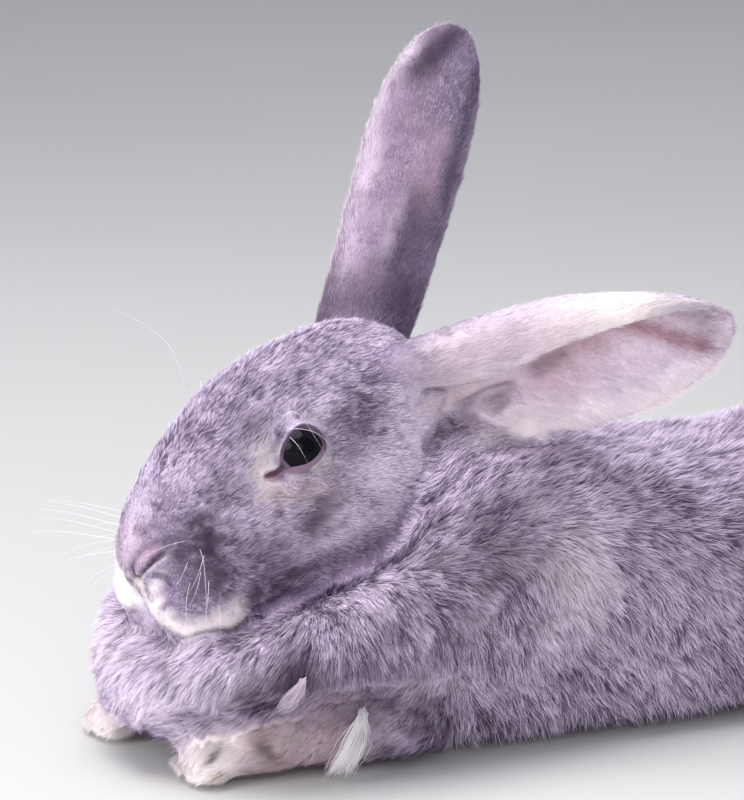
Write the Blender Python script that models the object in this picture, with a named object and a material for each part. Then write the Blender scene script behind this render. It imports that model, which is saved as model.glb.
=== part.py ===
"""Giant rabbit, lying with its chin on its dewlap: a life-size still model.

Metres, +Z up, floor at z = 0. The nose points along -X and the rabbit's left side faces -Y.
The solids reach out to the tips of the coat. They are built as whole forms, melted together
by a voxel remesh where the real animal has no edge, and then parted by thin cuts.
"""

import math

import bmesh
import bpy
import numpy as np
from mathutils import Matrix, Vector

# ---------------------------------------------------------------- driving sizes
NOSE = (-0.300, -0.007, 0.088)  # tip of the nose while the chin rests on the dewlap
HEAD_PITCH = math.radians(28)  # how far the nose points down
HEAD_YAW = math.radians(5)  # how far the face is turned to the rabbit's left
EYE_RADIUS = 0.0115
EYE_IN_HEAD = (0.0843, 0.0305, 0.0190)  # back from the nose, out to the side, up
EAR_ROOT = {"left": (-0.1752, -0.0102, 0.1629), "right": (-0.174, 0.014, 0.168)}
EAR_TIP = {"left": (-0.042, -0.095, 0.1935), "right": (-0.093, 0.062, 0.313)}
EAR_FACING = {"left": (-0.35, -0.85, -0.35), "right": (0.35, 0.94, 0.0)}
EAR_CUP = 0.40  # depth of the left ear's cup, in shares of its width

# Section of the left ear from the free edge of its upper wall to its lower edge:
# across in shares of the width, and out of the cup in shares of its depth.
LEAF_SECTION = [
    (-0.500, 1.00),
    (-0.490, 0.86),
    (-0.500, 0.60),
    (-0.410, 0.30),
    (-0.240, 0.09),
    (-0.020, 0.00),
    (0.250, 0.05),
    (0.470, 0.19),
    (0.620, 0.40),
]
PAW_OUT = {"left": 0.037, "right": 0.043}  # middle of each forepaw, from the mid-line
PAW_REACH = {"left": 0.0, "right": 0.006}  # how much further forward it lies
FOOT_OUT = 0.090
GAP = 0.0003  # clearance where two solids meet
BELOW_FLOOR = 0.022  # the trunk is drawn this far under the floor and cut flat
SIDES = (("left", -1), ("right", 1))

# How each body is melted together: voxel size, smoothing passes, triangles kept.
MELT_HEAD = (0.0035, 8, 950)
MELT_BODY = (0.0060, 8, 1050)
MELT_TAIL = (0.0040, 4, 150)
MELT_FORELEG = (0.0032, 3, 250)
MELT_HINDFOOT = (0.0036, 3, 230)

# Flat cuts between nodes: a point, and the direction of the front piece.
WRIST_CUT = ((-0.250, 0, 0), (-1, 0, 0))
DEWLAP_CUT = ((-0.180, 0, 0.040), (-0.93, 0, -0.37))
NECK_CUT = ((-0.140, 0, 0.105), (-0.68, 0, 0.73))

THIGH_MIDDLE = (0.166, 0.052)  # along the body, and up
THIGH_RADII = (0.082, 0.058)
THIGH_DEPTH = (0.050, 0.140)  # from inside the body to beyond the flank
THIGH_TILT = math.radians(-14)

FORE_TOES = (-0.286, 0.0085, 0.0062)  # foremost x, sideways spacing, radius
HIND_TOES = (0.066, 0.0090, 0.0068)

FUR_GREY = (0.33, 0.29, 0.35, 1)
FUR_PALE = (0.62, 0.56, 0.60, 1)
EAR_PINK = (0.66, 0.50, 0.55, 1)
PAW_CREAM = (0.70, 0.60, 0.55, 1)
EYE_BROWN = (0.02, 0.013, 0.012, 1)

RING_POINTS = 32


# ---------------------------------------------------------------- small tools
def clear_scene():
    for old in list(bpy.data.objects):
        bpy.data.objects.remove(old, do_unlink=True)


def finish_material(name, colour, roughness):
    material = bpy.data.materials.new(name)
    material.use_nodes = True
    shader = material.node_tree.nodes["Principled BSDF"]
    shader.inputs["Base Color"].default_value = colour
    shader.inputs["Roughness"].default_value = roughness
    shader.inputs["Metallic"].default_value = 0.0
    return material


def link_mesh(name, mesh):
    made = bpy.data.objects.new(name, mesh)
    bpy.context.scene.collection.objects.link(made)
    return made


def remove(*objects):
    for gone in objects:
        bpy.data.objects.remove(gone, do_unlink=True)


def evaluated_mesh(source):
    """The object's mesh with its modifiers applied."""
    bpy.context.view_layer.update()
    graph = bpy.context.evaluated_depsgraph_get()
    return bpy.data.meshes.new_from_object(source.evaluated_get(graph), depsgraph=graph)


def settle(source):
    """Applies the modifiers of an object."""
    mesh = evaluated_mesh(source)
    source.modifiers.clear()
    source.data = mesh
    return source


def stations(rows, count):
    """Evenly spaced rows on a smooth curve through a short table of named sizes."""
    table = np.array(rows, float)
    padded = np.vstack([2 * table[0] - table[1], table, 2 * table[-1] - table[-2]])
    places = np.linspace(0, len(table) - 1, count)
    whole = np.minimum(places.astype(int), len(table) - 2)
    t = (places - whole)[:, None]
    p0, p1, p2, p3 = (padded[whole + k] for k in range(4))
    bend = 2 * p0 - 5 * p1 + 4 * p2 - p3
    twist = 3 * p1 - p0 - 3 * p2 + p3
    return 0.5 * (2 * p1 + (p2 - p0) * t + bend * t**2 + twist * t**3)


def rounded(angle, power):
    """Cosine and sine of a superellipse: power 2 is round, more is squarer."""
    c, s = np.cos(angle), np.sin(angle)
    return np.sign(c) * np.abs(c) ** (2 / power), np.sign(s) * np.abs(s) ** (2 / power)


def loft(name, rings):
    """A closed body through rings of points, each end closed by strips across the ring."""
    shape = bmesh.new()
    rows = [[shape.verts.new(p) for p in ring] for ring in rings]
    count = len(rows[0])
    for near, far in zip(rows, rows[1:]):
        for k in range(count):
            n = (k + 1) % count
            shape.faces.new((near[k], near[n], far[n], far[k]))
    for ring in (rows[0], rows[-1]):
        for k in range(count // 2 - 1):
            shape.faces.new((ring[k], ring[k + 1], ring[-2 - k], ring[-1 - k]))
    bmesh.ops.recalc_face_normals(shape, faces=shape.faces)
    mesh = bpy.data.meshes.new(name)
    shape.to_mesh(mesh)
    shape.free()
    return link_mesh(name, mesh)


def ball(name, centre, radii, turn=None):
    """An ellipsoid, turned about its centre by a rotation matrix."""
    shape = bmesh.new()
    bmesh.ops.create_icosphere(shape, subdivisions=4, radius=1)
    place = Matrix.Translation(centre) @ (turn or Matrix()).to_4x4() @ Matrix.Diagonal((*radii, 1))
    bmesh.ops.transform(shape, matrix=place, verts=shape.verts)
    mesh = bpy.data.meshes.new(name)
    shape.to_mesh(mesh)
    shape.free()
    return link_mesh(name, mesh)


def limb(name, rows, count=24):
    """A round-ended tube through rows of (x, y, z, sideways radius, upright radius)."""
    table = stations(rows, count)
    path, wide, tall = table[:, :3], table[:, 3], table[:, 4]
    along = np.gradient(path, axis=0)
    along /= np.linalg.norm(along, axis=1)[:, None]
    side = np.cross((0, 0, 1), along)
    side /= np.linalg.norm(side, axis=1)[:, None]
    rise = np.cross(along, side)
    angle = np.linspace(0, 2 * np.pi, RING_POINTS, endpoint=False)
    rings = []
    cap_steps = 4  # rings that round off each end
    for end, sign in ((0, -1), (-1, 1)):
        cap = []
        for step in range(1, cap_steps):
            turn = 0.5 * np.pi * step / cap_steps
            reach = sign * 0.5 * (wide[end] + tall[end]) * np.sin(turn)
            centre = path[end] + reach * along[end]
            cap.append(ring_about(centre, side[end] * wide[end], rise[end] * tall[end], angle, np.cos(turn)))
        rings.append(cap)
    body = [ring_about(path[k], side[k] * wide[k], rise[k] * tall[k], angle, 1.0) for k in range(count)]
    return loft(name, rings[0][::-1] + body + rings[1])


def ring_about(centre, across, up, angle, size):
    return centre + size * (np.outer(np.cos(angle), across) + np.outer(np.sin(angle), up))


def melt(name, parts, how):
    """One smooth body from overlapping forms, thinned to about a number of triangles."""
    voxel, passes, triangles = how
    shape = bmesh.new()
    for part in parts:
        shape.from_mesh(part.data)
    mesh = bpy.data.meshes.new(name)
    shape.to_mesh(mesh)
    shape.free()
    remove(*parts)
    body = link_mesh(name, mesh)
    remesh = body.modifiers.new("melt", "REMESH")
    remesh.mode = "VOXEL"
    remesh.voxel_size = voxel
    smooth = body.modifiers.new("smooth", "SMOOTH")
    smooth.factor = 0.5
    smooth.iterations = passes
    settle(body)
    thin = body.modifiers.new("thin", "DECIMATE")
    thin.ratio = triangles / (2 * len(body.data.polygons))
    thin.use_collapse_triangulate = True
    return settle(body)


def grown(source, by):
    """A hidden copy of a body, larger all round."""
    copy = link_mesh(source.name + "_room", source.data.copy())
    normals = np.zeros(len(copy.data.vertices) * 3, np.float32)
    places = normals.copy()
    copy.data.vertices.foreach_get("co", places)
    copy.data.vertex_normals.foreach_get("vector", normals)
    copy.data.vertices.foreach_set("co", places + by * normals)
    copy.data.update()
    return copy


def boolean(source, tool, operation):
    change = source.modifiers.new(operation.lower(), "BOOLEAN")
    change.operation = operation
    change.object = tool
    change.solver = "EXACT"
    return keep_largest(settle(source))


def make_room(source, neighbour):
    """Cuts a body back from its neighbour, with a small clearance."""
    room = grown(neighbour, GAP)
    boolean(source, room, "DIFFERENCE")
    remove(room)


def keep_largest(source):
    """Drops crumbs that a cut leaves."""
    shape = bmesh.new()
    shape.from_mesh(source.data)
    bmesh.ops.remove_doubles(shape, verts=shape.verts, dist=1e-5)
    left, islands = set(shape.verts), []
    while left:
        island, front = set(), [left.pop()]
        while front:
            vert = front.pop()
            island.add(vert)
            near = {e.other_vert(vert) for e in vert.link_edges} & left
            left -= near
            front.extend(near)
        islands.append(island)
    islands.sort(key=len)
    crumbs = [v for island in islands[:-1] for v in island]
    bmesh.ops.delete(shape, geom=crumbs, context="VERTS")
    bmesh.ops.triangulate(shape, faces=shape.faces)
    shape.to_mesh(source.data)
    shape.free()
    return source


def part_of(source, name, point, normal, side):
    """The piece of a body on one side of a flat cut, with half the clearance taken off."""
    shape = bmesh.new()
    shape.from_mesh(source.data)
    normal = Vector(normal).normalized() * side
    place = Vector(point) + normal * (GAP / 2)
    everything = list(shape.verts) + list(shape.edges) + list(shape.faces)
    cut = bmesh.ops.bisect_plane(shape, geom=everything, plane_co=place, plane_no=normal, clear_inner=True)
    rim = [g for g in cut["geom_cut"] if isinstance(g, bmesh.types.BMEdge)]
    bmesh.ops.triangle_fill(shape, edges=rim, use_beauty=True)
    bmesh.ops.recalc_face_normals(shape, faces=shape.faces)
    mesh = bpy.data.meshes.new(name)
    shape.to_mesh(mesh)
    shape.free()
    return keep_largest(link_mesh(name, mesh))


def split(source, front_name, back_name, cut):
    """Parts a body in two at a flat cut."""
    front = part_of(source, front_name, *cut, 1)
    back = part_of(source, back_name, *cut, -1)
    remove(source)
    return front, back


def trim_to_floor(source):
    """Cuts the flat that a body rests on."""
    name = source.name
    source.name = name + "_untrimmed"
    above = part_of(source, name, (0, 0, -GAP / 2), (0, 0, 1), 1)
    remove(source)
    return above


# ---------------------------------------------------------------- the body
def trunk_form():
    """Rounded barrel on the floor: (x, half width, height of the back, height of the belly)."""
    rows = [
        (-0.225, 0.045, 0.085, -BELOW_FLOOR),
        (-0.175, 0.072, 0.128, -BELOW_FLOOR),
        (-0.120, 0.088, 0.142, -BELOW_FLOOR),
        (-0.060, 0.096, 0.131, -BELOW_FLOOR),
        (0.000, 0.099, 0.121, -BELOW_FLOOR),
        (0.060, 0.100, 0.121, -BELOW_FLOOR),
        (0.120, 0.099, 0.137, -BELOW_FLOOR),
        (0.180, 0.096, 0.150, -BELOW_FLOOR),
        (0.235, 0.089, 0.141, -BELOW_FLOOR),
        (0.277, 0.068, 0.113, -0.010),
        (0.302, 0.040, 0.080, 0.014),
    ]
    angle = np.linspace(0, 2 * np.pi, 48, endpoint=False)
    across, up = rounded(angle, 2.25)
    rings = []
    for x, half_width, top, bottom in stations(rows, 44):
        middle = 0.40 * top
        tall = np.where(up > 0, top - middle, middle - bottom)
        rings.append(np.stack([np.full_like(angle, x), half_width * across, middle + tall * up], 1))
    return loft("trunk_form", rings)


def neck_forms():
    nape = ball("nape_form", (-0.150, 0.002, 0.108), (0.060, 0.058, 0.050))
    shoulders = [
        ball("shoulder_form", (-0.130, side * 0.048, 0.078), (0.070, 0.050, 0.060))
        for side in (-1, 1)
    ]
    return [nape, *shoulders]


def dewlap_forms():
    """The fold of skin below the chin: a cushion, and a roll that rises past each cheek."""
    forms = [ball("cushion_form", (-0.240, 0.0, 0.031), (0.064, 0.044, 0.036))]
    for side in (-1, 1):
        roll = [
            (-0.282, side * 0.010, 0.033, 0.029, 0.031),
            (-0.266, side * 0.038, 0.047, 0.031, 0.027),
            (-0.240, side * 0.058, 0.060, 0.031, 0.026),
            (-0.200, side * 0.063, 0.068, 0.034, 0.032),
            (-0.150, side * 0.058, 0.076, 0.040, 0.042),
        ]
        forms.append(limb("roll_form", roll))
    return forms


def haunch_form(side):
    turn = Matrix.Rotation(math.radians(10 * side), 3, "Z") @ Matrix.Rotation(THIGH_TILT, 3, "Y")
    return ball("haunch_form", (0.168, side * 0.063, 0.066), (0.098, 0.048, 0.072), turn)


# ---------------------------------------------------------------- the head
def head_matrix():
    """Head frame: u back from the nose tip, w to the rabbit's right, v up off the brow."""
    cp, sp = math.cos(HEAD_PITCH), math.sin(HEAD_PITCH)
    cy, sy = math.cos(HEAD_YAW), math.sin(HEAD_YAW)
    back = Vector((cp * cy, cp * sy, sp))
    up = Vector((-sp * cy, -sp * sy, cp))
    right = up.cross(back)
    place = Matrix((back, right, up)).transposed().to_4x4()
    place.translation = NOSE
    return place


def head_form():
    """Sections from nose to nape: (back from the nose, brow height, jaw depth, half width)."""
    rows = [
        (0.000, 0.010, 0.014, 0.010),
        (0.006, 0.020, 0.030, 0.022),
        (0.017, 0.031, 0.038, 0.032),
        (0.034, 0.041, 0.039, 0.033),
        (0.052, 0.049, 0.039, 0.036),
        (0.070, 0.054, 0.040, 0.039),
        (0.086, 0.055, 0.043, 0.042),
        (0.105, 0.053, 0.045, 0.045),
        (0.125, 0.049, 0.044, 0.045),
        (0.143, 0.043, 0.038, 0.041),
        (0.160, 0.032, 0.024, 0.030),
        (0.172, 0.016, 0.008, 0.014),
    ]
    place = head_matrix()
    angle = np.linspace(0, 2 * np.pi, RING_POINTS, endpoint=False)
    across, up = rounded(angle, 2.1)
    taper = 1 - 0.16 * up
    rings = []
    for u, brow, jaw, half_width in stations(rows, 36):
        tall = np.where(up > 0, brow, jaw)
        ring = [place @ Vector((u, half_width * c, t * s)) for c, s, t in zip(across * taper, up, tall)]
        rings.append(ring)
    return loft("head_form", rings)


def head_extras():
    """Whisker pads, nose, chin, cheeks and brows."""
    place = head_matrix()
    turn = place.to_3x3()

    def lump(name, u, w, v, *radii):
        return ball(name, place @ Vector((u, w, v)), radii, turn)

    forms = [
        lump("nose_form", 0.0095, 0, 0.004, 0.012, 0.013, 0.012),
        lump("chin_form", 0.032, 0, -0.036, 0.024, 0.020, 0.014),
    ]
    for side in (-1, 1):
        forms += [
            lump("pad_form", 0.020, side * 0.0165, -0.0170, 0.026, 0.0200, 0.0240),
            lump("cheek_form", 0.102, side * 0.023, -0.020, 0.046, 0.027, 0.037),
            lump("jaw_form", 0.062, side * 0.017, -0.026, 0.034, 0.019, 0.022),
            lump("brow_form", 0.082, side * 0.026, 0.027, 0.028, 0.012, 0.012),
        ]
    return forms


def eye_centre(side):
    back, out, up = EYE_IN_HEAD
    return head_matrix() @ Vector((back, side * out, up))


# ---------------------------------------------------------------- the ears
def arched_section(width, curl):
    """An even arc that curls by an angle to each side: places across, and out of the cup."""
    curl = math.radians(curl)
    radius = width / (2 * math.sin(min(curl, math.pi / 2)))
    angle = curl * np.linspace(-1, 1, 9)
    return radius * np.sin(angle), radius * (1 - np.cos(angle))


def rolled_section(width, roll):
    """A shallow leaf whose upper wall rolls over by a share of the width."""
    shape = np.array(LEAF_SECTION)
    shape[0] -= (-roll, 0)
    shape[1] -= (-0.35 * roll, 0)
    across, out = stations(shape, 12).T
    return width * across, width * EAR_CUP * out


def ear(label, bow, rows, section):
    """A cupped leaf of skin from root to tip, open to one side, its back arched by bow.

    Rows: share of the length, width across, how far the section curls or rolls, thickness.
    """
    root, tip = Vector(EAR_ROOT[label]), Vector(EAR_TIP[label])
    length = (tip - root).length
    along = (tip - root).normalized()
    face = Vector(EAR_FACING[label])
    face = (face - face.dot(along) * along).normalized()
    side = along.cross(face)
    rim_thickness = 0.35
    rings = []
    for share, width, bend, thick in stations(rows, 14):
        arch = bow * math.sin(math.pi * share)
        centre = root + along * (length * share) - face * arch
        across, out = section(width, bend)
        way = np.gradient(np.stack([across, out], 1), axis=0)
        way /= np.linalg.norm(way, axis=1)[:, None]
        half = np.full(len(across), thick / 2)
        half[[0, -1]] *= rim_thickness
        outer, inner = [], []
        for a, o, (along_a, along_o), h in zip(across, out, way, half):
            middle = centre + side * a + face * o
            normal = side * along_o - face * along_a
            outer.append(middle + normal * h)
            inner.append(middle - normal * h)
        rings.append(outer + inner[::-1])
    return loft("ear_" + label, rings)


def ear_left():
    """Held out and back, open to the rabbit's left, its front wall rolled over the cup."""
    rows = [
        (0.00, 0.044, 0.30, 0.0090),
        (0.14, 0.050, 0.42, 0.0085),
        (0.30, 0.060, 0.44, 0.0075),
        (0.50, 0.067, 0.27, 0.0064),
        (0.70, 0.061, 0.17, 0.0056),
        (0.84, 0.047, 0.09, 0.0050),
        (0.94, 0.030, 0.03, 0.0044),
        (1.00, 0.008, 0.00, 0.0036),
    ]
    return ear("left", 0.006, rows, rolled_section)


def ear_right():
    """Held upright, open to the rabbit's right, so that its back faces left."""
    rows = [
        (0.00, 0.036, 108, 0.0090),
        (0.14, 0.040, 100, 0.0085),
        (0.30, 0.044, 90, 0.0075),
        (0.50, 0.048, 82, 0.0064),
        (0.70, 0.050, 74, 0.0056),
        (0.84, 0.045, 62, 0.0050),
        (0.94, 0.034, 50, 0.0044),
        (1.00, 0.014, 36, 0.0036),
    ]
    return ear("right", 0.004, rows, arched_section)


# ---------------------------------------------------------------- legs, tail and eyes
def foreleg_form(label, side):
    """Paw, forearm and elbow, flat on the floor under the dewlap."""
    reach, out = PAW_REACH[label], PAW_OUT[label]
    rows = [
        (-0.279 - reach, out, 0.0115, 0.0150, 0.0125),
        (-0.262 - reach, out + 0.003, 0.0140, 0.0180, 0.0150),
        (-0.240, out + 0.009, 0.0155, 0.0180, 0.0165),
        (-0.215, out + 0.016, 0.0180, 0.0185, 0.0190),
        (-0.190, out + 0.022, 0.0215, 0.0220, 0.0225),
    ]
    return limb("foreleg_form", [(x, side * y, *rest) for x, y, *rest in rows])


def toe_forms(toes, reach, y, side):
    """Four toes across the front of a paw."""
    x, spread, size = toes
    x -= reach
    forms = []
    for place in (-1.5, -0.5, 0.5, 1.5):
        off = place * spread
        centre = (x + 0.22 * abs(off), side * (y + off), 0.9 * size)
        forms.append(ball("toe_form", centre, (1.7 * size, size, size)))
    return forms


def hindfoot_form(side):
    rows = [
        (0.070, FOOT_OUT, 0.0115, 0.0160, 0.0125),
        (0.090, FOOT_OUT + 0.003, 0.0140, 0.0190, 0.0150),
        (0.125, FOOT_OUT + 0.003, 0.0160, 0.0175, 0.0170),
        (0.170, FOOT_OUT - 0.002, 0.0170, 0.0170, 0.0180),
        (0.215, FOOT_OUT - 0.010, 0.0180, 0.0180, 0.0190),
    ]
    return limb("foot_form", [(x, side * y, *rest) for x, y, *rest in rows])


def tail_form():
    rows = [
        (0.276, 0.0, 0.055, 0.020, 0.020),
        (0.300, 0.0, 0.062, 0.022, 0.020),
        (0.313, 0.0, 0.086, 0.021, 0.017),
        (0.308, 0.0, 0.108, 0.014, 0.012),
    ]
    return limb("tail_form", rows)


def eye_ball(name, side):
    shape = bmesh.new()
    bmesh.ops.create_icosphere(shape, subdivisions=3, radius=EYE_RADIUS)
    bmesh.ops.translate(shape, vec=eye_centre(side), verts=shape.verts)
    mesh = bpy.data.meshes.new(name)
    shape.to_mesh(mesh)
    shape.free()
    return link_mesh(name, mesh)


# ---------------------------------------------------------------- assembly
def finish(source, material):
    source.data.materials.clear()
    source.data.materials.append(material)
    source.data.shade_smooth()
    source.data.set_sharp_from_angle(angle=math.radians(50))


def thigh_region(side):
    """An upright oval drum that reaches in from the flank."""
    angle = np.linspace(0, 2 * np.pi, RING_POINTS, endpoint=False)
    turned = Matrix.Rotation(THIGH_TILT, 3, "Y")
    long, tall = THIGH_RADII
    x, z = THIGH_MIDDLE
    oval = [turned @ Vector((long * c, 0, tall * s)) for c, s in zip(np.cos(angle), np.sin(angle))]
    rings = [[point + Vector((x, side * y, z)) for point in oval] for y in THIGH_DEPTH]
    return loft("thigh_region", rings)


def take_thigh(body, label, side):
    """Parts a thigh from the body by an oval cut."""
    region = thigh_region(side)
    leg = link_mesh("hindleg_" + label, body.data.copy())
    boolean(leg, region, "INTERSECT")
    make_room(body, region)
    remove(region)
    return leg


def build():
    clear_scene()
    head = melt("head", [head_form(), *head_extras()], MELT_HEAD)
    body_forms = [trunk_form(), *neck_forms(), *dewlap_forms(), haunch_form(-1), haunch_form(1)]
    body = trim_to_floor(melt("body", body_forms, MELT_BODY))
    tail = melt("tail", [tail_form()], MELT_TAIL)
    ears = {"left": ear_left(), "right": ear_right()}
    nodes = [tail]
    for label, side in SIDES:
        toes = toe_forms(FORE_TOES, PAW_REACH[label], PAW_OUT[label], side)
        foreleg = trim_to_floor(melt("leg", [foreleg_form(label, side), *toes], MELT_FORELEG))
        toes = toe_forms(HIND_TOES, 0, FOOT_OUT, side)
        foot = trim_to_floor(melt("hindfoot_" + label, [hindfoot_form(side), *toes], MELT_HINDFOOT))
        eye = eye_ball("eye_" + label, side)
        make_room(head, eye)
        make_room(ears[label], head)
        make_room(body, foreleg)
        make_room(body, foot)
        forepaw, foreleg = split(foreleg, "forepaw_" + label, "foreleg_" + label, WRIST_CUT)
        nodes += [forepaw, foreleg, foot, eye, ears[label]]
    make_room(body, head)
    make_room(tail, body)
    for label, side in SIDES:
        make_room(body, ears[label])
        nodes.append(take_thigh(body, label, side))
    dewlap, rest = split(body, "dewlap", "rest", DEWLAP_CUT)
    neck, trunk = split(rest, "neck", "trunk", NECK_CUT)
    nodes += [head, dewlap, neck, trunk]

    grey = finish_material("fur_grey", FUR_GREY, 0.9)
    pale = finish_material("fur_pale", FUR_PALE, 0.9)
    pink = finish_material("ear_skin", EAR_PINK, 0.8)
    cream = finish_material("paw_fur", PAW_CREAM, 0.9)
    glossy = finish_material("eye", EYE_BROWN, 0.05)
    finishes = {"eye": glossy, "ear": pink, "forepaw": cream, "hindfoot": cream, "dewlap": pale}
    for node in nodes:
        finish(node, finishes.get(node.name.split("_")[0], grey))


if __name__ == "__main__":
    build()
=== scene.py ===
"""Giant rabbit at rest: skin, coat, eyes, whiskers and claws over the solids of its body.

Metres, +Z up, floor at z = 0. The nose points along -X and the rabbit's left side faces -Y.
Head measures are (back from the nose, out to the rabbit's right, up off the brow).
Lines on the rabbit stand in tables of tenths of a millimetre, which metres() reads.
"""

import math

import bmesh
import bpy
import numpy as np
from mathutils import Matrix, Vector
from mathutils.bvhtree import BVHTree


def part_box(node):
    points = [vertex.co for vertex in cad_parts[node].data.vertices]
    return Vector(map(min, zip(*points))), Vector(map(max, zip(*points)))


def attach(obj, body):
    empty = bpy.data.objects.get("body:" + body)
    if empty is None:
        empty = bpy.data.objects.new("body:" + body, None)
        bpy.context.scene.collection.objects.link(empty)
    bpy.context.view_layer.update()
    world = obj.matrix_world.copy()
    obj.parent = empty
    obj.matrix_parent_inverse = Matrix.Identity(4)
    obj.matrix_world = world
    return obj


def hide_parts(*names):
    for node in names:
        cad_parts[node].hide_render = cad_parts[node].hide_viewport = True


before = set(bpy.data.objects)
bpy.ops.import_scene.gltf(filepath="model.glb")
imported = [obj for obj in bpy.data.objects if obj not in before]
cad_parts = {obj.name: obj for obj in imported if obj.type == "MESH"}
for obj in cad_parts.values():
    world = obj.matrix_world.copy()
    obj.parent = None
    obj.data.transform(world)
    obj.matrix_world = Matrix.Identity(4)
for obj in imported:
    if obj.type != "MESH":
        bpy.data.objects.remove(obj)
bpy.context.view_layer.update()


# ---------------------------------------------------------------- driving sizes
HEAD_PITCH = math.radians(28)  # how far the nose points down
EYE_IN_HEAD = (0.0843, 0.0, 0.0190)  # mid-point of the two eyes
SKIN_VOXEL = 0.0017
LID = 0.0012  # thickness of an eyelid over the ball
WELD = 0.00045  # each solid is grown by this, so that neighbours join
COAT_DEPTH = {
    "trunk": 0.0046,
    "hindleg": 0.0046,
    "dewlap": 0.0036,
    "neck": 0.0042,
    "tail": 0.0045,
    "head": 0.0022,
    "eye": 0.0010,
    "foreleg": 0.0040,
    "forepaw": 0.0020,
    "hindfoot": 0.0020,
    "ear": 0.0008,
}
# How far each kind of part is smoothed after the weld.
SMOOTHING = {
    "foreleg": 1.0,
    "trunk": 1.0,
    "hindleg": 1.0,
    "dewlap": 0.6,
    "neck": 1.0,
    "ear": 0.16,
    "head": 0.40,
}
SMOOTHING_ELSEWHERE = 0.35
SMOOTHING_PASSES = 34
SKIN_OVER_FLOOR = 0.0012
HAIR_OVER_FLOOR = 0.0006
ROOT_DEPTH = 0.0003  # a hair starts this far under the skin
SIDES = (("left", -1), ("right", 1))
FEET = ("forepaw_left", "forepaw_right", "hindfoot_left", "hindfoot_right")

# Seeds of the random draws and of the random fields.
SEED = 7
WIDE_TURNS, FINE_TURNS, FACE_TURNS = 3, 4, 5
LOCK_SHAPES = (11, 12, 13)
FACE_EDGES, BODY_EDGES, EAR_CLOUDS, PAW_CLOUDS, EAR_EDGES, FOREARM_CLOUDS = range(21, 27)


# ---------------------------------------------------------------- number helpers
def unit(rows):
    return rows / np.maximum(np.linalg.norm(rows, axis=-1, keepdims=True), 1e-12)


def ease(values, low, high):
    """0 at low, 1 at high, with soft ends. Low may be above high."""
    t = np.clip((values - low) / (high - low), 0, 1)
    return t * t * (3 - 2 * t)


def hill(distance, width):
    return np.exp(-((distance / width) ** 2))


def ripple(points, size, seed):
    """A smooth random field from -1 to 1, with bumps about a size apart."""
    chance = np.random.default_rng(seed)
    total = np.zeros(len(points))
    for _ in range(7):
        wave = chance.normal(size=3)
        wave *= 2 * np.pi / size * chance.uniform(0.6, 1.3) / np.linalg.norm(wave)
        total += np.sin(points @ wave + chance.uniform(0, 6.28))
    return np.tanh(total / 2.2)


def metres(tenths):
    """Tenths of a millimetre, in metres."""
    return np.array(tenths) / 10000


def line_distance(points, line):
    """Distance of each point from a line of straight pieces."""
    best = np.full(len(points), np.inf)
    for start, end in zip(np.array(line[:-1]), np.array(line[1:])):
        way = end - start
        t = np.clip((points - start) @ way / (way @ way), 0, 1)
        best = np.minimum(best, np.linalg.norm(points - start - t[:, None] * way, axis=1))
    return best


def band(points, line, width, ragged=1.0):
    """1 on a table's line, fading to 0 over a width, both in tenths of a millimetre."""
    return hill(line_distance(points, metres(line)) * ragged, metres(width))


def mirrored(points, side=-1):
    """The points, with those of the other side brought over to this one."""
    return points * np.where(points[:, 1:2] * side < 0, (1, -1, 1), 1)


def curve_through(table, count):
    """Evenly spread points on a smooth curve through the rows of a table."""
    table = np.array(table, float)
    padded = np.vstack([2 * table[0] - table[1], table, 2 * table[-1] - table[-2]])
    places = np.linspace(0, len(table) - 1, count)
    whole = np.minimum(places.astype(int), len(table) - 2)
    t = (places - whole)[:, None]
    p0, p1, p2, p3 = (padded[whole + k] for k in range(4))
    bend = 2 * p0 - 5 * p1 + 4 * p2 - p3
    twist = 3 * p1 - p0 - 3 * p2 + p3
    return 0.5 * (2 * p1 + (p2 - p0) * t + bend * t**2 + twist * t**3)


# ---------------------------------------------------------------- the head's own axes
def middle(node):
    low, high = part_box(node)
    return np.array((low + high) / 2)


EYE_MIDDLE = {-1: middle("eye_left"), 1: middle("eye_right")}
EYE_RADIUS = (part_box("eye_left")[1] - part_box("eye_left")[0])[2] / 2


def head_axes():
    right = unit(EYE_MIDDLE[1] - EYE_MIDDLE[-1])
    level = np.cross(right, (0, 0, 1))
    back = math.cos(HEAD_PITCH) * level + math.sin(HEAD_PITCH) * np.array((0, 0, 1))
    return np.array([back, right, np.cross(back, right)])


HEAD = head_axes()
NOSE = (EYE_MIDDLE[-1] + EYE_MIDDLE[1]) / 2 - np.array(EYE_IN_HEAD) @ HEAD


def to_head(points):
    return (points - NOSE) @ HEAD.T


def from_head(places):
    return NOSE + np.array(places) @ HEAD


# ---------------------------------------------------------------- shader tools
class Wire:
    """An output of a node, which sums and products can use as a number."""

    def __init__(self, maker, socket):
        self.maker = maker
        self.socket = socket

    def combine(self, operation, first, second):
        return self.maker.node("ShaderNodeMath", {"operation": operation}, {0: first, 1: second})

    def __add__(self, other):
        return self.combine("ADD", self, other)

    def __sub__(self, other):
        return self.combine("SUBTRACT", self, other)

    def __rsub__(self, other):
        return self.combine("SUBTRACT", other, self)

    def __mul__(self, other):
        return self.combine("MULTIPLY", self, other)

    __rmul__ = __mul__


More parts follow.
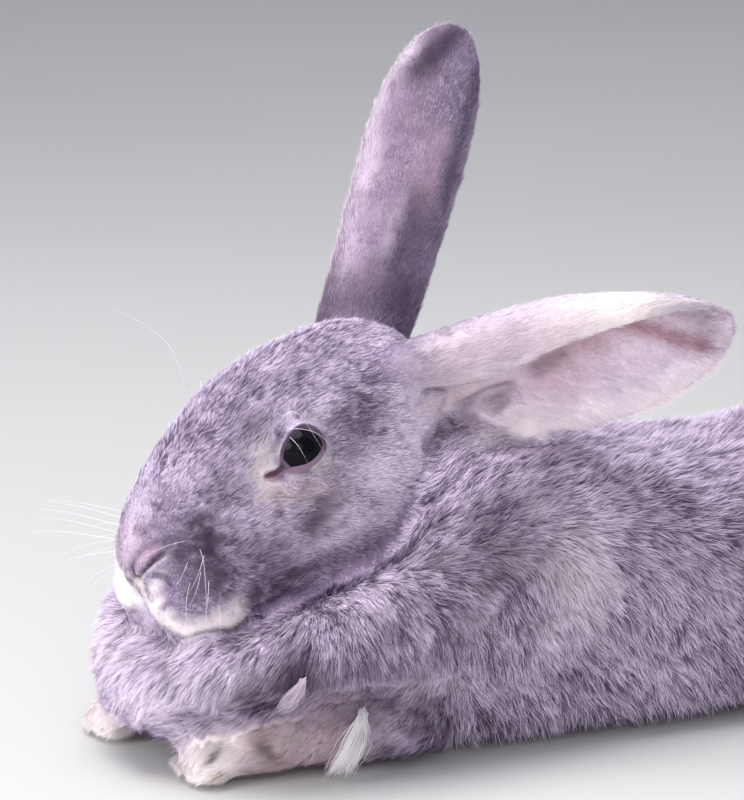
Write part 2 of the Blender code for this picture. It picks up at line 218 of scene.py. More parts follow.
class Finish:
    """A material under construction."""

    def __init__(self, name):
        self.material = bpy.data.materials.new(name)
        self.material.use_nodes = True
        self.tree = self.material.node_tree
        self.tree.nodes.clear()
        self.place = self.node("ShaderNodeTexCoord", output="Object")

    def node(self, kind, settings=None, sockets=None, output=0):
        """Adds any node: first its settings, then the values or links of its sockets."""
        made = self.tree.nodes.new(kind)
        for key, value in (settings or {}).items():
            if key == "stops":
                ramp_stops(made.color_ramp, value)
            else:
                setattr(made, key, value)
        for key, value in (sockets or {}).items():
            if isinstance(value, Wire):
                self.tree.links.new(value.socket, made.inputs[key])
            else:
                made.inputs[key].default_value = value
        return Wire(self, made.outputs[output]) if made.outputs else None

    def mask(self, name):
        return self.node("ShaderNodeAttribute", {"attribute_name": name}, output="Fac")

    def noise(self, scale, detail=2, stretch=None):
        place = self.place
        if stretch:
            place = self.node("ShaderNodeVectorMath", {"operation": "MULTIPLY"}, {0: place, 1: stretch})
        sockets = {"Vector": place, "Scale": scale, "Detail": detail}
        return self.node("ShaderNodeTexNoise", {}, sockets)

    def mix(self, share, first, second):
        """A colour between two colours."""
        return self.node("ShaderNodeMix", {"data_type": "RGBA"}, {0: share, 6: first, 7: second}, output=2)

    def ramp(self, value, stops):
        """Runs a value from one level to another between two places: (place, level) pairs."""
        return self.node("ShaderNodeValToRGB", {"stops": stops}, {0: value})

    def bump(self, height, depth, strength):
        sockets = {"Height": height, "Distance": depth, "Strength": strength}
        return self.node("ShaderNodeBump", {}, sockets)

    def surface(self, colour, roughness, normal=None, **fixed):
        sockets = {"Base Color": colour, "Roughness": roughness}
        sockets.update({key.replace("_", " "): value for key, value in fixed.items()})
        if normal:
            sockets["Normal"] = normal
        shader = self.node("ShaderNodeBsdfPrincipled", {}, sockets)
        self.node("ShaderNodeOutputMaterial", {}, {"Surface": shader})
        return self.material


def ramp_stops(ramp, stops):
    for element, (place, level) in zip(ramp.elements, stops):
        element.position = place
        element.color = (level, level, level, 1)


# ---------------------------------------------------------------- colours
SLATE = (0.105, 0.076, 0.142, 1)
SMOKE = (0.318, 0.242, 0.385, 1)
SILVER = (0.830, 0.710, 0.910, 1)
# Frosted fur, and painted highlights on the front of the dewlap, along the roll and on the back.
FROST_AND_HIGHLIGHT = (0.900, 0.800, 0.950, 1)
CREAM = (0.980, 0.910, 0.910, 1)
ROSE = (0.790, 0.450, 0.540, 1)
FAWN = (0.520, 0.340, 0.330, 1)
# Dark fur at the roots and in markings, and painted shade in creases, hollows and under folds.
DARK_FUR_AND_SHADE = (0.040, 0.024, 0.052, 1)
WET_SKIN = (0.110, 0.050, 0.075, 1)
HAIR_ROUGHNESS = 0.60


def marked(finish, ground, strands):
    """Lays markings, painted shade and painted highlights over a ground colour, weaker on darker strands.
    """
    colour = finish.mix(finish.mask("frost") * strands, ground, FROST_AND_HIGHLIGHT)
    colour = finish.mix(finish.mask("pale") * (0.5 * strands + 0.5), colour, CREAM)
    colour = finish.mix(finish.mask("tan"), colour, FAWN)
    colour = finish.mix(finish.mask("pink"), colour, ROSE)
    return finish.mix(finish.mask("dark"), colour, DARK_FUR_AND_SHADE)


def coat_finish(name, cloud, depth):
    """Hair: dark at the root, silver at the tip, no two tufts the same. Cloud and depth set
    how far it varies over the body and how dark its roots are."""
    finish = Finish(name)
    along, tone = finish.mask("along"), finish.mask("tone")
    patch = finish.noise(38, 3)
    frost, pale = finish.mask("frost"), finish.mask("pale")
    level = tone + cloud * (patch - 0.5) + 0.25 * frost
    ground = finish.mix(finish.ramp(level, [(0.42, 0.0), (0.86, 1.0)]), SMOKE, SILVER)
    ground = finish.mix(finish.ramp(level, [(0.20, 0.95), (0.50, 0.0)]), ground, SLATE)
    strands = finish.ramp(tone, [(0.20, 0.45), (0.62, 1.0)])
    colour = marked(finish, ground, strands)
    root = finish.mix(depth * (1.0 - 0.6 * pale - 0.3 * frost), colour, DARK_FUR_AND_SHADE)
    colour = finish.mix(finish.ramp(along, [(0.05, 0.0), (0.70, 1.0)]), root, colour)
    return finish.surface(colour, HAIR_ROUGHNESS, Specular_IOR_Level=0.25)


def skin_finish():
    """Under-wool seen between the tufts, and short velvet where the coat is thin."""
    finish = Finish("skin under the coat")
    patch = finish.noise(46, 3)
    fibre = finish.noise(900, 2)
    level = patch * 0.6 + fibre * 0.4
    ground = finish.mix(finish.ramp(level, [(0.3, 0.0), (0.7, 1.0)]), SLATE, SMOKE)
    colour = marked(finish, ground, 1.0)
    wet = finish.mask("wet")
    colour = finish.mix(wet, colour, WET_SKIN)
    grain = finish.bump(fibre, 0.0006, 0.5)
    return finish.surface(colour, 0.85 - 0.5 * wet, grain)


# ---------------------------------------------------------------- mesh helpers
def link(name, mesh):
    made = bpy.data.objects.new(name, mesh)
    bpy.context.scene.collection.objects.link(made)
    return made


def mesh_from(name, points, faces):
    mesh = bpy.data.meshes.new(name)
    mesh.from_pydata(points, [], faces)
    mesh.update()
    return mesh


def baked(source):
    """The mesh of an object with its modifiers applied."""
    bpy.context.view_layer.update()
    graph = bpy.context.evaluated_depsgraph_get()
    return bpy.data.meshes.new_from_object(source.evaluated_get(graph), depsgraph=graph)


def read(collection, key, width, kind=np.float32):
    flat = np.empty(len(collection) * width, kind)
    collection.foreach_get(key, flat)
    return flat.reshape(-1, width)


def write_mask(mesh, name, values):
    layer = mesh.attributes.new(name, "FLOAT", "POINT")
    layer.data.foreach_set("value", np.asarray(values, np.float32))


class Surface:
    """The points of a mesh as arrays, with averages over neighbours."""

    def __init__(self, mesh):
        self.mesh = mesh
        self.points = read(mesh.vertices, "co", 3).astype(float)
        self.edges = read(mesh.edges, "vertices", 2, np.int32)
        self.neighbours = np.bincount(self.edges.ravel(), minlength=len(self.points))

    def normals(self):
        self.mesh.vertices.foreach_set("co", self.points.astype(np.float32).ravel())
        self.mesh.update()
        return read(self.mesh.vertex_normals, "vector", 3).astype(float)

    def average(self, values):
        first, second = self.edges.T
        size = len(self.points)
        columns = [
            np.bincount(first, column[second], size) + np.bincount(second, column[first], size)
            for column in values.reshape(size, -1).T
        ]
        return (np.stack(columns, 1) / self.neighbours[:, None]).reshape(values.shape)

    def relaxed(self, values, passes, weight=0.5):
        weight = np.broadcast_to(weight, len(self.points))
        if values.ndim > 1:
            weight = weight[:, None]
        for _ in range(passes):
            values = values + weight * (self.average(values) - values)
        return values


# ---------------------------------------------------------------- the skin's shape
def weld_solids():
    """All the flesh in one mesh, each solid grown a little, with a lid's depth over each eye."""
    whole = bmesh.new()
    for name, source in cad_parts.items():
        if name.startswith("eye"):
            side = -1 if name.endswith("left") else 1
            place = Matrix.Translation(EYE_MIDDLE[side])
            bmesh.ops.create_icosphere(whole, subdivisions=5, radius=EYE_RADIUS + LID, matrix=place)
            continue
        piece = bmesh.new()
        piece.from_mesh(source.data)
        bmesh.ops.remove_doubles(piece, verts=piece.verts, dist=1e-5)
        piece.normal_update()
        for vert in piece.verts:
            vert.co += vert.normal * WELD
        mesh = bpy.data.meshes.new(name + "_grown")
        piece.to_mesh(mesh)
        piece.free()
        whole.from_mesh(mesh)
    mesh = bpy.data.meshes.new("flesh")
    whole.to_mesh(mesh)
    whole.free()
    flesh = link("flesh", mesh)
    remesh = flesh.modifiers.new("weld", "REMESH")
    remesh.mode = "VOXEL"
    remesh.voxel_size = SKIN_VOXEL
    welded = baked(flesh)
    bpy.data.objects.remove(flesh)
    return welded


def node_search():
    """Finds the CAD node nearest to a point."""
    points, faces, owners = [], [], []
    for name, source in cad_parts.items():
        start = len(points)
        points += [v.co for v in source.data.vertices]
        for face in source.data.polygons:
            faces.append([start + k for k in face.vertices])
            owners.append(name)
    return BVHTree.FromPolygons(points, faces), owners


def owners_of(points):
    tree, owners = node_search()
    return np.array([owners[tree.find_nearest(Vector(p))[2]] for p in points])


def finer(mesh, wanted):
    """Splits the edges whose two ends are both wanted."""
    shape = bmesh.new()
    shape.from_mesh(mesh)
    edges = [e for e in shape.edges if wanted[e.verts[0].index] and wanted[e.verts[1].index]]
    bmesh.ops.subdivide_edges(shape, edges=edges, cuts=1, use_grid_fill=True)
    loose = [f for f in shape.faces if len(f.verts) > 4]
    bmesh.ops.triangulate(shape, faces=loose)
    shape.to_mesh(mesh)
    shape.free()


EYE_REACH = 0.030  # how far round an eye its lids reach
LID_CURVES = (56, 46)  # points along the upper and the lower lid
# Corners of an eye's opening as seen square on: (towards the ear, up), in tenths of a millimetre.
UPPER_LID = [
    (-186, -52), (-160, -47), (-130, -49), (-105, -38), (-89, -12),
    (-72, 16), (-40, 50), (12, 76), (52, 74), (87, 42),
    (107, 0), (108, -24),
]
LOWER_LID = [
    (108, -24), (84, -35), (52, -48), (12, -58), (-26, -57),
    (-64, -55), (-94, -61), (-125, -64), (-160, -64), (-186, -52),
]


def eye_axes(side):
    """Towards the ear, up, and out of the eye."""
    out = unit(np.array((-0.30, 0.90 * side, 0.30)) @ HEAD)
    rear = np.array((0.977, 0.0, -0.214)) @ HEAD
    rear = unit(rear - (rear @ out) * out)
    up = unit(np.array((0.0, 0.0, 1.0)) @ HEAD)
    up = up - (up @ out) * out
    up = unit(up - (up @ rear) * rear)
    return np.array([rear, up, out])


def lid_distance(flat):
    """Distance from the edge of the eye's opening, below zero inside it."""
    upper, lower = map(curve_through, map(metres, (UPPER_LID, LOWER_LID)), LID_CURVES)
    outline = np.vstack([upper, lower[1:]])
    away = line_distance(flat, outline)
    x, y = flat.T
    inside = np.zeros(len(flat), bool)
    for (x0, y0), (x1, y1) in zip(outline, np.roll(outline, -1, 0)):
        crosses = (y0 > y) != (y1 > y)
        with np.errstate(divide="ignore", invalid="ignore"):
            inside ^= crosses & (x < (x1 - x0) * (y - y0) / (y1 - y0) + x0)
    return np.where(inside, -away, away)


# The skin's height over the eyeball at steps away from the edge of the opening, below zero inside it.
LID_STEPS = (-22, -8, 0, 5, 13, 24, 38)
LID_RISE = (-28, -16, -1, 9, 15, 13, 11)


def carve_eye(points, normals, side, lid_gap):
    """Parts the lids over the ball, and draws the inner corner out towards the nose."""
    axes = eye_axes(side)
    centre = EYE_MIDDLE[side]
    near = np.flatnonzero(np.linalg.norm(points - centre, axis=1) < EYE_REACH)
    local = (points[near] - centre) @ axes.T
    facing = local[:, 2] > -0.001
    near, local = near[facing], local[facing]
    away = lid_distance(local[:, :2])
    reach = np.linalg.norm(local, axis=1)
    wanted = EYE_RADIUS + np.interp(away, metres(LID_STEPS), metres(LID_RISE))
    over_ball = ease(local[:, 0], -0.0135, -0.0085)
    hold = over_ball * ease(away, 0.0065, 0.0020)
    points[near] += (hold * (wanted - reach))[:, None] * local @ axes / reach[:, None]
    groove = (1 - over_ball) * ease(away, 0.0010, -0.0006) * 0.0022
    roll = (1 - over_ball) * hill(away - 0.0012, 0.0008) * 0.0005
    points[near] += (roll - groove)[:, None] * normals[near]
    lid_gap[near] = np.minimum(lid_gap[near], away)


GROOVE_REACH = 0.05


def groove(points, normals, places, fold):
    """Sinks (or with a depth below zero, raises) the skin along a line in head measures, on the
    left side and, for a share of the depth, on the right."""
    line, width, depth, far = fold
    for side, share in ((-1, 1.0), (1, far)):
        path = metres(line) * (1, side, 1)
        near = np.flatnonzero(np.abs(places - path.mean(0)).max(1) < GROOVE_REACH)
        sink = share * metres(depth) * hill(line_distance(places[near], path), metres(width))
        points[near] -= sink[:, None] * normals[near]


# Lines on the near side of the head, in head measures with the side turned positive.
NOSTRIL = [(0, 56, 90), (-8, 50, 50), (0, 79, 37), (26, 126, 78), (60, 164, 107), (88, 190, 120)]
NOSTRIL_LOBE = [(16, 108, 40), (56, 168, 82), (95, 204, 104)]
NOSTRIL_WING = [(8, 55, 104), (55, 107, 157), (120, 190, 178)]
LIP_SPLIT = [(-12, 40, 40), (-20, 0, -50), (-30, 0, -120), (-20, 0, -220)]
MOUTH = [(-20, 0, -300), (60, 100, -360), (180, 190, -390), (320, 250, -370)]
PAD_BACK = [(240, 265, 170), (250, 290, 110), (300, 320, 0), (340, 340, -150)]
PAD_SWELL = [(30, 120, 40), (10, 160, -80), (60, 260, -140)]
LIP_CORNER = [(170, 340, -225), (240, 350, -200)]
NOSE_RIDGE = [(40, 0, 140), (-10, 0, 20)]
# Folds of the face: (line, width, how far the skin sinks, share of that on the right side).
FACE_FOLDS = [
    (PAD_SWELL, 130, -34, 0.4),
    (NOSE_RIDGE, 90, -14, 0.0),
    (NOSTRIL, 15, 44, 1.0),
    (NOSTRIL_LOBE, 20, -18, 1.0),
    (NOSTRIL_WING, 12, 10, 1.0),
    (LIP_SPLIT, 13, 18, 0.0),
    (MOUTH, 14, 18, 1.0),
    (PAD_BACK, 36, 24, 1.0),
]
LIP_DROOP = (LIP_CORNER, 80, -60, 1.0)


def carve_face(points, normals):
    """Full whisker pads, nostrils, split lip, mouth, the hollow behind each pad, and the drooping lip."""
    places = to_head(points)
    for fold in FACE_FOLDS:
        groove(points, normals, places, fold)
    groove(points, np.tile(-HEAD[2], (len(points), 1)), places, LIP_DROOP)


# The hollow under the right-hand lip, which the chin's fur fills.
UNDER_FAR_LIP = [(10, 80, -290), (40, 300, -300)]
# Lines on the body: the furrow round the front of the left ear's base, the lobe behind it, and the fold
# under the ear.
EAR_FURROW = [
    (-1665, -388, 1395), (-1626, -384, 1412), (-1504, -312, 1476), (-1418, -258, 1511),
    (-1336, -314, 1570), (-1250, -350, 1595),
]
EAR_LOBE = [(-1417, -343, 1449), (-1315, -307, 1523), (-1283, -325, 1565)]
EAR_UNDERLINE = [(-1540, -480, 1380), (-1420, -460, 1375), (-1335, -427, 1387), (-1200, -390, 1375)]
# The foot of the left ear's roll, which fills out to the furrow.
EAR_FOOT = [
    (-1651, -337, 1544), (-1536, -233, 1557), (-1446, -259, 1575),
    (-1365, -298, 1605), (-1290, -335, 1645),
]
# A pit at the front of that foot, which is filled.
EAR_PIT = [(-1623, -290, 1615), (-1561, -248, 1600)]
# Folds at the left ear: (line, width, how far the skin sinks).
EAR_FOLDS = [
    (EAR_FURROW, 36, 45),
    (EAR_LOBE, 42, -26),
    (EAR_UNDERLINE, 26, 22),
    (EAR_FOOT, 60, -16),
    (EAR_PIT, 50, -45),
]
# The dewlap's upper edge, which the left cheek overlaps.
CHEEK_SHELF = [
    (-2680, -420, 750), (-2450, -450, 850), (-2235, -480, 915),
    (-2021, -490, 978), (-1880, -480, 1100),
]
# The dewlap's hem over the left forepaw.
HEM = [
    (-2980, -330, 190), (-2874, -424, 192), (-2765, -501, 243), (-2684, -629, 325),
    (-2490, -639, 342), (-2300, -690, 370), (-2100, -700, 380),
]


def kinds_of(owners):
    """The kind of body part in each owner's name."""
    return np.array([name.split("_")[0] for name in owners])


def by_kind(kinds, table, otherwise=0.0):
    return np.select([kinds == key for key in table], list(table.values()), otherwise)


def soft_shares(surface, kinds):
    """For each kind of part, 1 on its skin, with a soft edge."""
    return {kind: surface.relaxed((kinds == kind) * 1.0, 6) for kind in sorted(set(kinds))}


def split_face(mesh):
    """Splits the skin of the face and round the eyes, then once more at the nostrils and the lids."""
    for last, eye_reach in ((False, EYE_REACH), (True, 0.0215)):
        points = read(mesh.vertices, "co", 3).astype(float)
        places = to_head(points)
        u, w, v = places.T
        if last:
            wanted = np.linalg.norm(places - (0.004, 0, 0.004), axis=1) < 0.026
        else:
            wanted = (u < 0.070) & (np.abs(w) < 0.06) & (v > -0.05) & (v < 0.06)
        for centre in EYE_MIDDLE.values():
            wanted |= np.linalg.norm(points - centre, axis=1) < eye_reach
        finer(mesh, wanted)


def sink_skin(surface, kinds):
    """Draws the skin in by the depth of the coat, and further in the folds between parts."""
    muzzle = ease(to_head(surface.points)[:, 0], 0.060, 0.030) * (kinds == "head")
    depth = surface.relaxed(by_kind(kinds, COAT_DEPTH) * (1 - 0.6 * muzzle), 20)
    shares = soft_shares(surface, kinds)
    legs = shares["forepaw"] + shares["hindfoot"]
    crease = legs * (shares["dewlap"] + shares["trunk"] + shares["neck"])
    overlap = band(mirrored(surface.points), CHEEK_SHELF, 105) * np.isin(kinds, ("dewlap", "neck"))
    overlap = surface.relaxed(overlap, 4)
    normals = surface.normals()
    tucked = shares["dewlap"] * ease(normals[:, 2], -0.10, -0.60) * ease(surface.points[:, 0], -0.19, -0.23)
    sink = depth + WELD + 0.007 * crease + 0.005 * tucked + 0.006 * overlap
    surface.points -= normals * sink[:, None]
    surface.points[:, 2] = np.maximum(surface.points[:, 2], SKIN_OVER_FLOOR)
    surface.points = surface.relaxed(surface.points, 2, 0.3)


def build_skin():
    """The skin, the CAD node behind each of its points, and each point's distance from the lids' edge."""
    welded = weld_solids()
    surface = Surface(welded)
    strength = by_kind(kinds_of(owners_of(surface.points)), SMOOTHING, SMOOTHING_ELSEWHERE)
    strength = np.maximum(strength, 2.0 * band(to_head(surface.points), UNDER_FAR_LIP, 150))
    strength = np.minimum(0.5 * surface.relaxed(strength, 8), 0.9)
    surface.points = surface.relaxed(surface.points, SMOOTHING_PASSES, strength)
    surface.normals()

    split_face(welded)
    surface = Surface(welded)
    face = to_head(surface.points)[:, 0] < 0.13
    surface.points = surface.relaxed(surface.points, 4, np.where(face, 0.4, 0.0))
    owners = owners_of(surface.points)
    sink_skin(surface, kinds_of(owners))

    normals = surface.normals()
    carve_face(surface.points, normals)
    for line, width, sink in EAR_FOLDS:
        surface.points -= (metres(sink) * band(surface.points, line, width))[:, None] * normals
    lid_gap = np.full(len(surface.points), 1.0)
    for side in EYE_MIDDLE:
        carve_eye(surface.points, normals, side, lid_gap)
    surface.normals()
    return surface, owners, lid_gap


# ---------------------------------------------------------------- the lie of the coat
# Each ear's root and tip, and the way its cup opens.
EARS = {
    "left": ((-0.1752, -0.0102, 0.1629), (-0.042, -0.095, 0.1935), (-0.35, -0.85, -0.35)),
    "right": ((-0.174, 0.014, 0.168), (-0.093, 0.062, 0.313), (0.35, 0.94, 0.0)),
}


def ear_axes(label):
    """Root to tip, across, and the way the cup opens."""
    root, tip, face = map(np.array, EARS[label])
    along = unit(tip - root)
    face = unit(face - (face @ along) * along)
    return np.array([along, np.cross(along, face), face])


def ear_places(points, label):
    """Share of the ear's length, distance across from its mid-line, and distance out of the cup."""
    root, tip = map(np.array, EARS[label][:2])
    local = (points - root) @ ear_axes(label).T
    return local / (np.linalg.norm(tip - root), 1, 1)


# The left ear at shares of its length: width, and how far its front wall rolls over.
LEAF_ROWS = [
    (0.00, 0.044, 0.30), (0.14, 0.050, 0.42), (0.30, 0.060, 0.44), (0.50, 0.067, 0.27),
    (0.70, 0.061, 0.17), (0.84, 0.047, 0.09), (0.94, 0.030, 0.03), (1.00, 0.008, 0.00),
]
LEAF_SECTION = [
    (-0.500, 1.00), (-0.490, 0.86), (-0.500, 0.60), (-0.410, 0.30), (-0.240, 0.09),
    (-0.020, 0.00), (0.250, 0.05), (0.470, 0.19), (0.620, 0.40),
]
LEAF_CUP = 0.40
LEAF_BOW = 0.006
LEAF_STEPS = 24


def leaf_places(points):
    """For the left ear: share of its length, share of the way round its section from the
    rolled edge to the lower edge, and height over the mid-surface, above zero in the cup."""
    share, across, out = ear_places(points, "left").T
    out = out + LEAF_BOW * np.sin(np.pi * np.clip(share, 0, 1))
    rows = np.array(LEAF_ROWS)
    width = np.interp(share, rows[:, 0], rows[:, 1])
    roll = np.interp(share, rows[:, 0], rows[:, 2])
    line = curve_through(LEAF_SECTION, LEAF_STEPS + 1)
    lean = curve_through([(1.0,), (0.35,)] + [(0.0,)] * 7, LEAF_STEPS + 1)[:, 0]
    best = np.full(len(points), np.inf)
    round_share, height = np.zeros(len(points)), np.zeros(len(points))
    for k in range(LEAF_STEPS):
        ends = []
        for (right, rise), tilt in zip(line[k : k + 2], lean[k : k + 2]):
            ends.append(np.stack([width * (right + tilt * roll), width * LEAF_CUP * rise], 1))
        way = ends[1] - ends[0]
        away = np.stack([across, out], 1) - ends[0]
        t = np.clip((away * way).sum(1) / np.maximum((way * way).sum(1), 1e-12), 0, 1)
        gap = away - t[:, None] * way
        reach = np.linalg.norm(gap, axis=1)
        closer = reach < best
        best = np.where(closer, reach, best)
        round_share = np.where(closer, (k + t) / LEAF_STEPS, round_share)
        over = way[:, 0] * away[:, 1] - way[:, 1] * away[:, 0]
        height = np.where(closer, np.sign(over) * reach, height)
    return share, round_share, height


def eye_places(points, side):
    return (points - EYE_MIDDLE[side]) @ eye_axes(side).T


# Each kind of hair: length, width, lift at the root and at the tip, pull into locks.
STYLES = {
    "trunk": (0.0082, 0.00036, 48, 15, 0.42),
    "hindleg": (0.0082, 0.00036, 46, 15, 0.42),
    "dewlap": (0.0080, 0.00033, 38, 12, 0.30),
    "neck": (0.0075, 0.00035, 44, 14, 0.40),
    "tail": (0.0190, 0.00050, 54, 30, 0.40),
    "head": (0.0042, 0.00026, 27, 12, 0.20),
    "eye": (0.0020, 0.00022, 30, 10, 0.10),
    "foreleg": (0.0056, 0.00033, 30, 10, 0.40),
    "forepaw": (0.0050, 0.00032, 24, 9, 0.40),
    "hindfoot": (0.0055, 0.00034, 24, 9, 0.40),
    "ear": (0.0028, 0.00026, 20, 9, 0.20),
}
CHEEK_MIDDLE = (0.07, 0, 0)  # in head measures


class Coat:
    """What the coat does at each point of the skin: its lie, length, lift, markings and painted shade."""

    def __init__(self, surface, owners, lid_gap):
        self.surface = surface
        self.points = surface.points
        self.owners = owners
        self.kinds = kinds_of(owners)
        self.normals = surface.normals()
        self.places = to_head(self.points)
        self.lid_gap = lid_gap
        self.is_kind = soft_shares(surface, self.kinds)
        self.on_face = self.is_kind["head"] + self.is_kind["eye"]
        # The fold where the cheek overlaps the dewlap: shorter, lower hair, and painted shade on the
        # cheek's side.
        under = (self.is_kind["dewlap"] + self.is_kind["neck"]) * ease(self.points[:, 2], 0.128, 0.112)
        self.fold = np.clip(5.0 * self.is_kind["head"] * under, 0, 1)
        self.fold = surface.relaxed(self.fold, 3) * (0.12 + 0.88 * ease(-self.places[:, 1], 0.016, 0.032))
        self.hem = self.is_kind["dewlap"] * band(mirrored(self.points), HEM, 110)
        face = mirrored(self.places, 1)
        self.slit = np.maximum(band(face, NOSTRIL, 19), 0.5 * band(face, LIP_SPLIT[1:], 10))
        self.slit *= self.is_kind["head"]
        self.lie = self.comb()
        self.styles = self.style()
        self.marks = self.mark()

    def comb(self):
        """The direction in which the hair lies."""
        x, y, z = self.points.T
        u, w, v = self.places.T
        side = np.sign(w)
        down = ease(z, 0.121, 0.078)
        flank = np.stack([1.0 - 0.62 * down, 0.1 * np.sign(y) * down, -1.05 * down - 0.06], 1)
        front = ease(x, -0.225, -0.280) + 0.50 * ease(z, 0.060, 0.036) + 0.8 * self.hem
        bib = np.stack([0.28 - 1.40 * front, 0.25 * np.sign(y), -np.ones_like(x)], 1)
        nape = np.stack([1.0 - 0.5 * down, 0.15 * np.sign(y), 0.12 - 1.15 * down], 1)
        cheek = ease(np.abs(w), 0.018, 0.038) * ease(u, 0.045, 0.075) * ease(v, 0.012, -0.012)
        pad = ease(u, 0.045, 0.030) * ease(v, 0.004, -0.012)
        fall = 0.10 - 0.65 * cheek - 0.75 * pad - 0.55 * ease(u, 0.075, 0.125) * (1 - cheek)
        face = np.stack([1.0 - 0.35 * pad, side * (0.25 - 0.1 * cheek), fall], 1) @ HEAD
        for centre in EYE_MIDDLE.values():
            away = self.points - centre
            reach = np.linalg.norm(away, axis=1)
            out = away / reach[:, None]
            inward = np.minimum((face * out).sum(1), 0)
            face -= (ease(reach, 0.034, 0.016) * inward)[:, None] * out
            face += (0.35 * ease(reach, 0.030, 0.014))[:, None] * out
        ways = {"trunk": flank, "hindleg": flank, "dewlap": bib, "neck": nape, "head": face, "eye": face}
        ways["tail"] = np.stack([-0.15 + 0 * x, 0 * x, 1 + 0 * x], 1)
        ways["foreleg"] = np.stack([-1 + 0 * x, 0.1 * np.sign(y), -0.55 + 0 * x], 1)
        ways["forepaw"] = np.stack([-1 + 0 * x, 0.1 * np.sign(y), -0.25 + 0 * x], 1)
        ways["hindfoot"] = ways["forepaw"]
        lie = np.zeros_like(self.points)
        for kind, way in ways.items():
            lie += np.where((self.kinds == kind)[:, None], unit(way), 0)
        for label in EARS:
            across = ear_places(self.points, label)[:, 1]
            along, sideways, face = ear_axes(label)
            inside = (self.normals @ face > 0) * 1.0
            fan = np.clip(across / 0.022, -1, 1) * (0.10 + 0.5 * inside)
            if label == "left":
                around, height = leaf_places(self.points)[1:]
                inside = (height > 0) * 1.0
                roll = ease(around, 0.35, 0.10)
                fan = inside * 0.75 * np.clip((around - 0.45) / 0.4, -0.6, 1)
                fan -= (1 - inside) * (0.08 + 0.30 * roll)
            way = unit(along + fan[:, None] * sideways)
            lie += np.where((self.owners == "ear_" + label)[:, None], way, 0)
        on_head = np.isin(self.kinds, ("head", "eye", "ear"))[:, None]
        lie = np.where(on_head, *(self.surface.relaxed(lie * part, 14) for part in (on_head, ~on_head)))
        near_shelf = band(mirrored(self.points), CHEEK_SHELF, 200)[:, None] * ~on_head
        from_cheek = unit(self.points - from_head(CHEEK_MIDDLE))
        lie = (1 - near_shelf) * unit(lie) + near_shelf * from_cheek
        lie -= (lie * self.normals).sum(1)[:, None] * self.normals
        lie = unit(lie)
        furry = sum(self.is_kind[kind] for kind in ("trunk", "dewlap", "neck", "hindleg"))
        furry *= (1 - 0.55 * self.is_kind["dewlap"] - 0.3 * self.is_kind["neck"]) * (1 - 0.7 * self.fold)
        wide, fine = ripple(self.points, 0.045, WIDE_TURNS), ripple(self.points, 0.013, FINE_TURNS)
        turn = furry * (0.22 * wide + 0.20 * fine)
        short = (1 - furry) * (1 - 0.8 * self.is_kind["ear"])
        turn += short * 0.14 * ripple(self.points, 0.012, FACE_TURNS)
        aside = np.cross(self.normals, lie)
        return unit(np.cos(turn)[:, None] * lie + np.sin(turn)[:, None] * aside)

    def style(self):
        """Length, width, lift at the root and at the tip, pull into locks."""
        order = list(STYLES)
        table = np.array(list(STYLES.values()))
        styles = self.surface.relaxed(table[[order.index(kind) for kind in self.kinds]], 26)
        muzzle = ease(self.places[:, 0], 0.050, 0.008) * self.on_face
        styles[:, 0] *= 1 - 0.62 * muzzle
        styles[:, 1] *= 1 - 0.25 * muzzle
        near_lid = ease(self.lid_gap, 0.0100, 0.0010)
        styles[:, 0] *= 1 - 0.72 * near_lid
        ear_base = band(self.points, EAR_FURROW + EAR_LOBE[::-1] + EAR_UNDERLINE, 90)
        closed = np.maximum(np.maximum(self.fold, 1.25 * self.hem), 1.2 * ear_base)
        styles[:, 0] *= 1 - 0.55 * closed
        styles[:, 2] *= 1 - 0.50 * closed
        share, around, height = leaf_places(self.points)
        left_ear = self.is_kind["ear"] * (self.points[:, 1] < 0.005)
        left_ear = left_ear * ease(share, 0.05, 0.20) * ease(share, 1.0, 0.9)
        rolled_edge = hill(around - 0.10, 0.16) * (height < 0)
        lower_edge = 0.8 * ease(around, 0.62, 0.88) * (height > 0)
        fringe = left_ear * np.maximum(rolled_edge, lower_edge)
        across = ear_places(self.points, "right")[:, 1]
        right_edge = self.is_kind["ear"] * (self.points[:, 1] > 0.005) * ease(np.abs(across), 0.017, 0.024)
        styles[:, 0] += 0.0032 * fringe + 0.0016 * right_edge
        styles[:, 2] += 14 * right_edge
        return styles

    def paint(self, marks, table, places, ragged, share, reach=np.inf):
        """Adds a table of marks, each fading away from its line, within a reach of its middle."""
        for key, line, width, strength in table:
            near = np.abs(places - metres(line).mean(0)).max(1) < reach
            spot = strength * band(places[near], line, width, ragged[near]) * share[near]
            marks[key][near] = 1 - (1 - np.clip(marks[key][near], 0, 1)) * (1 - spot)

    def mark(self):
        """Markings, with painted shade and painted highlights among them, from 0 to 1."""
        u, w, v = self.places.T
        marks = {key: np.zeros(len(u)) for key in ("frost", "pale", "tan", "pink", "dark", "wet")}
        on_head = np.clip(self.on_face, 0, 1)
        ragged = 1 + 0.25 * ripple(self.points, 0.006, FACE_EDGES)
        self.paint(marks, FACE_MARKS, mirrored(self.places, 1), ragged, on_head, 0.07)
        ragged = 1 + 0.3 * ripple(self.points, 0.020, BODY_EDGES)
        self.paint(marks, BODY_MARKS, self.points, ragged, 1 - on_head)
        # Painted shade in the crease where the cheek overlaps the dewlap, on the cheek's side, weaker
        # towards the back.
        shade = 0.92 * self.fold * ease(self.is_kind["head"], 0.40, 0.65)
        shade *= 1 - 0.75 * ease(self.points[:, 0], -0.248, -0.224)
        far_lip = ease(w, -0.0010, 0.0060) * ease(u, 0.032, 0.014) * ease(v, 0.016, 0.004) * on_head
        far_lip *= ease(v, -0.022, -0.012)
        marks["dark"] *= 1 - 0.9 * far_lip
        marks["frost"] = np.maximum(marks["frost"], far_lip)
